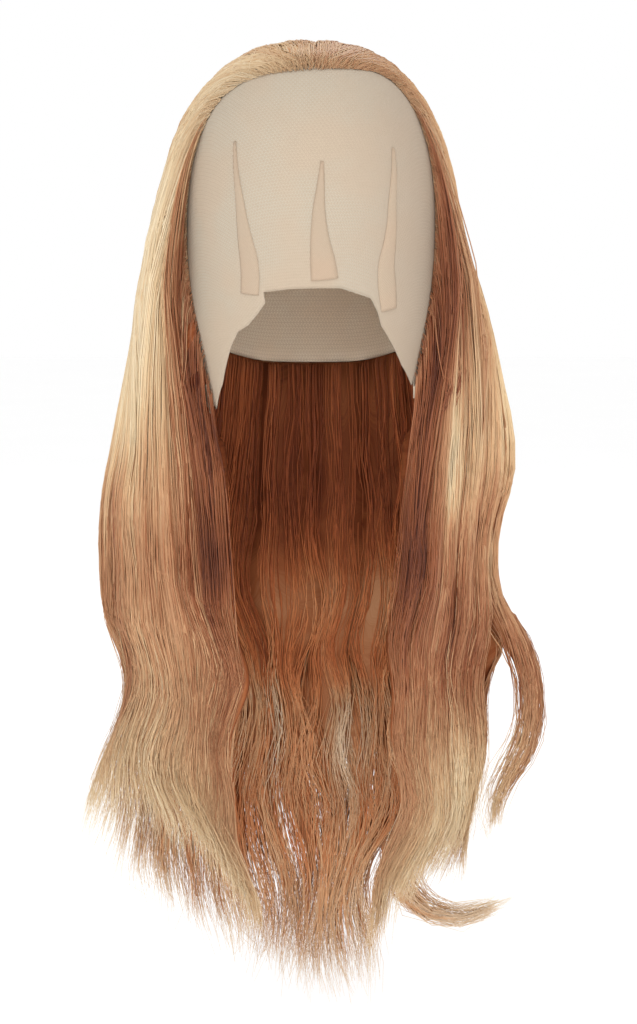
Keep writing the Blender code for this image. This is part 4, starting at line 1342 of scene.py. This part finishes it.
def strand_forms(settings):
    """The kinds of strand: how many, how long, how they start, gather, wave and stand out."""
    common = {
        "clumps": 6, "late": 0.22, "late_to": 17.0, "start": 0.0, "ragged": (-0.16, 0.10), "grow": 0.28,
        "short": 0.32, "reach": 0.4, "stray": 0.42, "hang": False, "inner": False, "drift": 0.0,
        "bridge": 0.0, "calm": 0.12, "lift": 0.5, "wave": 2.4, "frizz": 0.9, "curl": 0.6, "fly": 0.0,
        "radius": settings.radius,
    }
    return {
        "outer": dict(common, per_lock=settings.outer_strands, points=28, hang=True),
        "swept": dict(
            common, per_lock=settings.swept_strands, points=31, drift=2.6, late=0.0, lift=0.9, wave=3.0,
            clumps=7,
        ),
        "bridge": dict(
            common, per_lock=settings.bridge_strands, points=32, bridge=17.5, late=0.0, lift=1.2, clumps=5,
            roots=BRIDGE, arch=8.0,
        ),
        "ear": dict(
            common, per_lock=settings.bridge_strands * 1.6, points=32, bridge=17.5, late=0.0, lift=2.2,
            clumps=6, roots=EAR, arch=9.5, wave=3.2, frizz=1.2,
        ),
        "inner": dict(
            common, per_lock=settings.inner_strands, points=20, inner=True, start=15.5, ragged=(-1.0, 1.5),
            late=0.2, late_to=25.0, lift=1.3, clumps=4, wave=3.4, frizz=1.3, calm=-0.1,
        ),
        "tips": dict(
            common, per_lock=settings.tip_strands, points=12, start=22.0, ragged=(-3.0, 5.0), late=0.0,
            late_to=25.0, reach=0.9, short=0.2, stray=0.8, wave=3.0, frizz=1.8, curl=1.2,
            radius=settings.radius * 0.65,
        ),
        "fly": dict(
            common, per_lock=settings.fly_strands, points=18, start=15.0, ragged=(-3.0, 9.0), late=0.0,
            late_to=20.0, reach=0.6, fly=7.0, stray=0.8, frizz=2.4, wave=2.4, radius=settings.radius * 0.5,
        ),
        "nape": dict(
            common, per_lock=settings.nape_strands, points=20, clumps=4, start=0.0, ragged=(0.0, 0.02),
            grow=0.04, late=0.2, late_to=4.0, inner=True, lift=1.6, wave=3.6, frizz=1.4, calm=-0.15,
            radius=settings.radius * 1.1,
        ),
    }


# Settings, operators and panel

def count_of(name, description, default, least=1):
    return IntProperty(name=name, description=description, default=default, min=least)


def number_of(name, description, default, least=0.0, most=1000.0):
    return FloatProperty(name=name, description=description, default=default, min=least, max=most)


def power_of(name, description, default):
    return FloatProperty(name=name, description=description, default=default, min=0.0, unit="POWER")


def colour_of(name, description, default):
    return FloatVectorProperty(
        name=name, description=description, default=default, size=4, min=0.0, max=1.0, subtype="COLOR",
    )


class WigHairSettings(bpy.types.PropertyGroup):
    outer_strands: count_of("Outer strands", "Strands on the face of each lock", 50)
    swept_strands: count_of("Swept strands", "Strands of each lock from the top", 56)
    inner_strands: count_of("Inner strands", "Strands on the inside of each lock", 40)
    bridge_strands: count_of("Ear strands", "Strands of each lock past the ear", 56)
    tip_strands: count_of("Tip strands", "Short loose strands at each lock's end", 22)
    fly_strands: count_of("Flyaways", "Strands that stand off each lock", 7)
    nape_strands: count_of("Nape strands", "Strands of each lock of the inner curtain", 56)
    radius: number_of("Strand radius", "Half the width of a strand in mm", 0.34, least=0.05)
    spread: number_of("Spread", "How far strands close the gaps between locks", 0.9, most=1.0)
    frizz: number_of("Frizz", "How much single strands wander", 1.0)
    seed: count_of("Seed", "Start of the fixed random numbers", 11, least=0)


class WigLaceSettings(bpy.types.PropertyGroup):
    lace_cells: number_of("Lace cells", "Net cells across the lace front", 190.0, least=10.0)
    cap_cells: number_of("Cap cells", "Net cells across the cap", 200.0, least=10.0)
    tuck_cells: number_of("Tuck cells", "Net cells across a tuck", 110.0, least=10.0)
    opacity: number_of("Opacity", "How solid the holes of the lace look", 0.9, most=1.0)
    lace: colour_of("Lace colour", "Colour of the lace front", colour(188, 178, 160))
    cap: colour_of("Cap colour", "Colour of the cap's net", colour(238, 224, 202))
    tuck: colour_of("Tuck colour", "Colour of the tucks", colour(182, 164, 142))


class WigStageSettings(bpy.types.PropertyGroup):
    key: power_of("Key light", "Power of the main light", 10.0)
    fill: power_of("Fill light", "Power of the fill light", 6.5)
    world: number_of("World", "Strength of the white surroundings", 1.0)


class WIG_OT_cap(bpy.types.Operator):
    """Builds the stretch net cap"""

    bl_idname = "wig.cap"
    bl_label = "Cap"

    def execute(self, context):
        settings = context.scene.wig_lace
        u = np.linspace(-1, 1, 65)
        seam = seam_fraction(u)[0]
        t = seam + (1 - seam) * np.linspace(0, 1, 46)[:, None]
        way = swept(np.broadcast_to(u, t.shape), t)
        material = net_material(
            "cap_net", settings.cap, colour(216, 194, 168), colour(236, 214, 188), settings.cap_cells, 1.0,
        )
        inner = on_head(way, np.zeros(t.shape))
        outer = on_head(way, np.full(t.shape, CAP_THICK))
        piece, area = shell_piece("cap_net", inner, outer, material)
        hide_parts("cap")
        return {"FINISHED"}


class WIG_OT_lace(bpy.types.Operator):
    """Builds the sheer lace front"""

    bl_idname = "wig.lace"
    bl_label = "Lace front"

    def execute(self, context):
        settings = context.scene.wig_lace
        u = np.linspace(-1, 1, 129)
        rows = 56
        seam, length = seam_fraction(u)
        start = seam - SEAM_GAP / length
        behind = swept(u[:, None].repeat(12, 1), start[:, None] * np.linspace(1, 0, 12)[None])
        steps = np.linspace(0, 1, 40)[None, 1:].repeat(len(u), 0)
        ahead = turned(root_way(u)[:, None], cut_way(u)[:, None], steps)
        way = unit(evenly(np.concatenate((behind, ahead), 1), np.linspace(0, 1, rows)))
        way = way.transpose(1, 0, 2)[::-1]
        flat = np.zeros(way.shape[:-1])
        # Its last colour is painted shade over the lace's right side
        material = net_material(
            "lace_net", settings.lace, colour(172, 155, 136), colour(192, 174, 152), settings.lace_cells,
            settings.opacity, colour(166, 147, 130),
        )
        inner = on_head(way, flat)
        outer = on_head(way, flat + LACE_THICK)
        piece, area = shell_piece("lace_net", inner, outer, material)
        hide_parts("lace_front")
        return {"FINISHED"}


class WIG_OT_tucks(bpy.types.Operator):
    """Builds the three sewn tucks on the lace"""

    bl_idname = "wig.tucks"
    bl_label = "Tucks"

    def execute(self, context):
        settings = context.scene.wig_lace
        material = net_material(
            "tuck_net", settings.tuck, colour(170, 150, 130), colour(188, 163, 139), settings.tuck_cells, 1.0,
        )
        stitches = thread_material()
        for name, table in TUCKS.items():
            rows = np.array(table)
            t = np.linspace(0, 1, 40)
            rows = spline(t, np.linspace(0, 1, len(rows)), rows)
            middle = from_front(rows[:, 0], rows[:, 1])
            across = unit(np.cross(np.gradient(middle, axis=0), middle))
            reach = np.linalg.norm(on_head(middle, np.zeros(len(rows))) - HEAD_CENTRE, axis=-1)
            columns = np.linspace(1, -1, 9)
            sideways = columns[:, None] * rows[:, 2] * MM / reach
            way = unit(middle[None] + across[None] * sideways[..., None])
            way = way.transpose(1, 0, 2)[::-1]
            low = np.full(way.shape[:-1], LACE_THICK + TUCK_SIT)
            full = (1 - columns[None, :] ** 4) * np.clip(rows[::-1, 2:] / 2.5, 0, 1)
            high = low + TUCK_THICK * (TUCK_EDGE + (1 - TUCK_EDGE) * full)
            edge = on_head(way[:, (1, -2)], low[:, (1, -2)] + 0.7 * TUCK_THICK)
            self.stitch(name, edge, stitches)
            piece, area = shell_piece(name + "_fold", on_head(way, low), on_head(way, high), material)
            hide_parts(name)
            length = lengths_along(on_head(middle, np.zeros(len(rows)))[None])[0, -1]
            flat = (2.1 * rows[:, 2].max() * MM, 1.05 * length)
        return {"FINISHED"}

    def stitch(self, name, edge, material):
        """Adds short stitches along the edges of a tuck: edge is points down each of its two sides."""
        lines = edge.transpose(1, 0, 2)
        at = (np.arange(STITCHES)[:, None] + np.array((0.15, 0.4, 0.65))) / STITCHES
        dashes = np.stack([read_lines(lines, steps_evenly(lines, dash)) for dash in at]).reshape(-1, 3, 3)
        ones = np.ones(dashes.shape[:2])
        bundle = (dashes, STITCH_RADIUS * ones, 0.5 * ones, ones * (0.1, 0.5, 0.9))
        tubes(name + "_stitches", [bundle], material)


class WIG_OT_hair(bpy.types.Operator):
    """Builds the five outer sheets of hair and the inner curtain at the nape"""

    bl_idname = "wig.hair"
    bl_label = "Hair"

    def execute(self, context):
        settings = context.scene.wig_hair
        forms = strand_forms(settings)
        material = hair_material("hair", HAIR_COLOURS, 0.42, 0.34)
        # A copy of the hair material in painted shade colours, for the insides of the locks and the nape
        inside_shade = hair_material("hair_inside_shade", INSIDE_SHADE_COLOURS, 0.5, 0.22)
        # Body under the strands; under_sheet lowers its tones as painted shade
        under = hair_material("hair_under", HAIR_COLOURS, 0.72, 0.08)
        for number, (name, (first, last)) in enumerate(SHEETS.items()):
            seed = settings.seed + 100 * number
            points, faces, places = under_sheet(OUTER, first, last, seed)
            body = new_piece(name + "_body", points, faces, places, under)
            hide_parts(name)
            parts = ((first, last, "_strands"),)
            if last - first > 4:
                middle = (first + last) // 2
                parts = ((first, middle, "_strands_left"), (middle, last, "_strands_right"))
            for first, last, ending in parts:
                bundles = {True: [], False: []}
                for i, (kind, count) in enumerate(STRANDS_OF[name].items()):
                    form = dict(forms[kind], per_lock=round(forms[kind]["per_lock"] * count))
                    near = form["roots"][0][0] if form["bridge"] else 0.0
                    locks = [k for k in range(first, last) if abs((k + 0.5) / OUTER.count * 2 - 1) > near]
                    if locks:
                        draw = seed + 10 * i + first
                        made = strands(OUTER, locks[0], locks[-1] + 1, settings, draw, form)
                        bundles[form["inner"]].append(made)
                tubes(name + ending, bundles[False], material)
                tubes(name + ending.replace("strands", "inside"), bundles[True], inside_shade)
        seed = settings.seed + 900
        points, faces, places = under_sheet(NAPE, 0, NAPE.count, seed)
        body = new_piece("hair_nape_body", points, faces, places, under)
        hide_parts("hair_nape")
        made = strands(NAPE, 0, NAPE.count, settings, seed, forms["nape"])
        # Nape strands take the painted shade colours of the inside of the hair
        tubes("hair_nape_strands", [made], inside_shade)
        return {"FINISHED"}


class WIG_OT_stage(bpy.types.Operator):
    """Builds the pale floor, the lights and the camera"""

    bl_idname = "wig.stage"
    bl_label = "Stage"

    def execute(self, context):
        scene = context.scene
        settings = scene.wig_stage
        square = ((-1, -1), (1, -1), (1, 1), (-1, 1))
        corners = [(FLOOR_REACH * x, FLOOR_REACH * y, FLOOR_Z) for x, y in square]
        mesh = bpy.data.meshes.new("floor")
        mesh.from_pydata(corners, [], [(0, 1, 2, 3)])
        mesh.materials.append(floor_material())
        floor = bpy.data.objects.new("floor", mesh)
        scene.collection.objects.link(floor)
        self.light(scene, "key", (-0.5, -1.9, 0.45), 1.3, settings.key)
        self.light(scene, "fill", (0.5, -1.8, -0.05), 1.2, settings.fill)
        self.light(scene, "low", (0.1, -1.9, -0.6), 1.2, 0.7 * settings.fill)
        self.light(scene, "back", (0.2, 1.1, 1.4), 1.2, settings.fill)
        world = bpy.data.worlds.new("white")
        world.use_nodes = True
        world.node_tree.nodes["Background"].inputs["Color"].default_value = (1.0, 1.0, 1.0, 1.0)
        world.node_tree.nodes["Background"].inputs["Strength"].default_value = settings.world
        scene.world = world
        camera = bpy.data.objects.new("camera", bpy.data.cameras.new("camera"))
        camera.data.lens = CAMERA_LENS
        camera.location = CAMERA_PLACE
        camera.rotation_euler = (math.radians(90 - CAMERA_TILT), 0.0, 0.0)
        scene.collection.objects.link(camera)
        scene.camera = camera
        scene.view_settings.view_transform = "Standard"
        scene.cycles.use_denoising = True
        return {"FINISHED"}

    def light(self, scene, name, place, size, power):
        data = bpy.data.lights.new(name, "AREA")
        data.shape = "DISK"
        data.size = size
        data.energy = power
        lamp = bpy.data.objects.new(name, data)
        lamp.location = place
        aim = Vector((0.0, 0.0, -0.3)) - Vector(place)
        lamp.rotation_euler = aim.to_track_quat("-Z", "Y").to_euler()
        scene.collection.objects.link(lamp)


OPERATORS = (WIG_OT_stage, WIG_OT_cap, WIG_OT_lace, WIG_OT_tucks, WIG_OT_hair)


class WIG_PT_panel(bpy.types.Panel):
    """The wig's settings and build steps"""

    bl_idname = "WIG_PT_panel"
    bl_label = "Lace Front Wig"
    bl_space_type = "VIEW_3D"
    bl_region_type = "UI"
    bl_category = "Wig"

    def draw(self, context):
        for group in (context.scene.wig_hair, context.scene.wig_lace, context.scene.wig_stage):
            box = self.layout.box()
            for name in group.__annotations__:
                box.prop(group, name)
        for operator in OPERATORS:
            self.layout.operator(operator.bl_idname)


GROUPS = {"wig_hair": WigHairSettings, "wig_lace": WigLaceSettings, "wig_stage": WigStageSettings}


def register():
    for name, group in GROUPS.items():
        bpy.utils.register_class(group)
        setattr(bpy.types.Scene, name, PointerProperty(type=group))
    for operator in OPERATORS:
        bpy.utils.register_class(operator)
    bpy.utils.register_class(WIG_PT_panel)


def unregister():
    bpy.utils.unregister_class(WIG_PT_panel)
    for operator in reversed(OPERATORS):
        bpy.utils.unregister_class(operator)
    for name, group in GROUPS.items():
        delattr(bpy.types.Scene, name)
        bpy.utils.unregister_class(group)


def main():
    register()
    bpy.ops.wig.stage()
    bpy.ops.wig.cap()
    bpy.ops.wig.lace()
    bpy.ops.wig.tucks()
    bpy.ops.wig.hair()


if __name__ == "__main__":
    main()
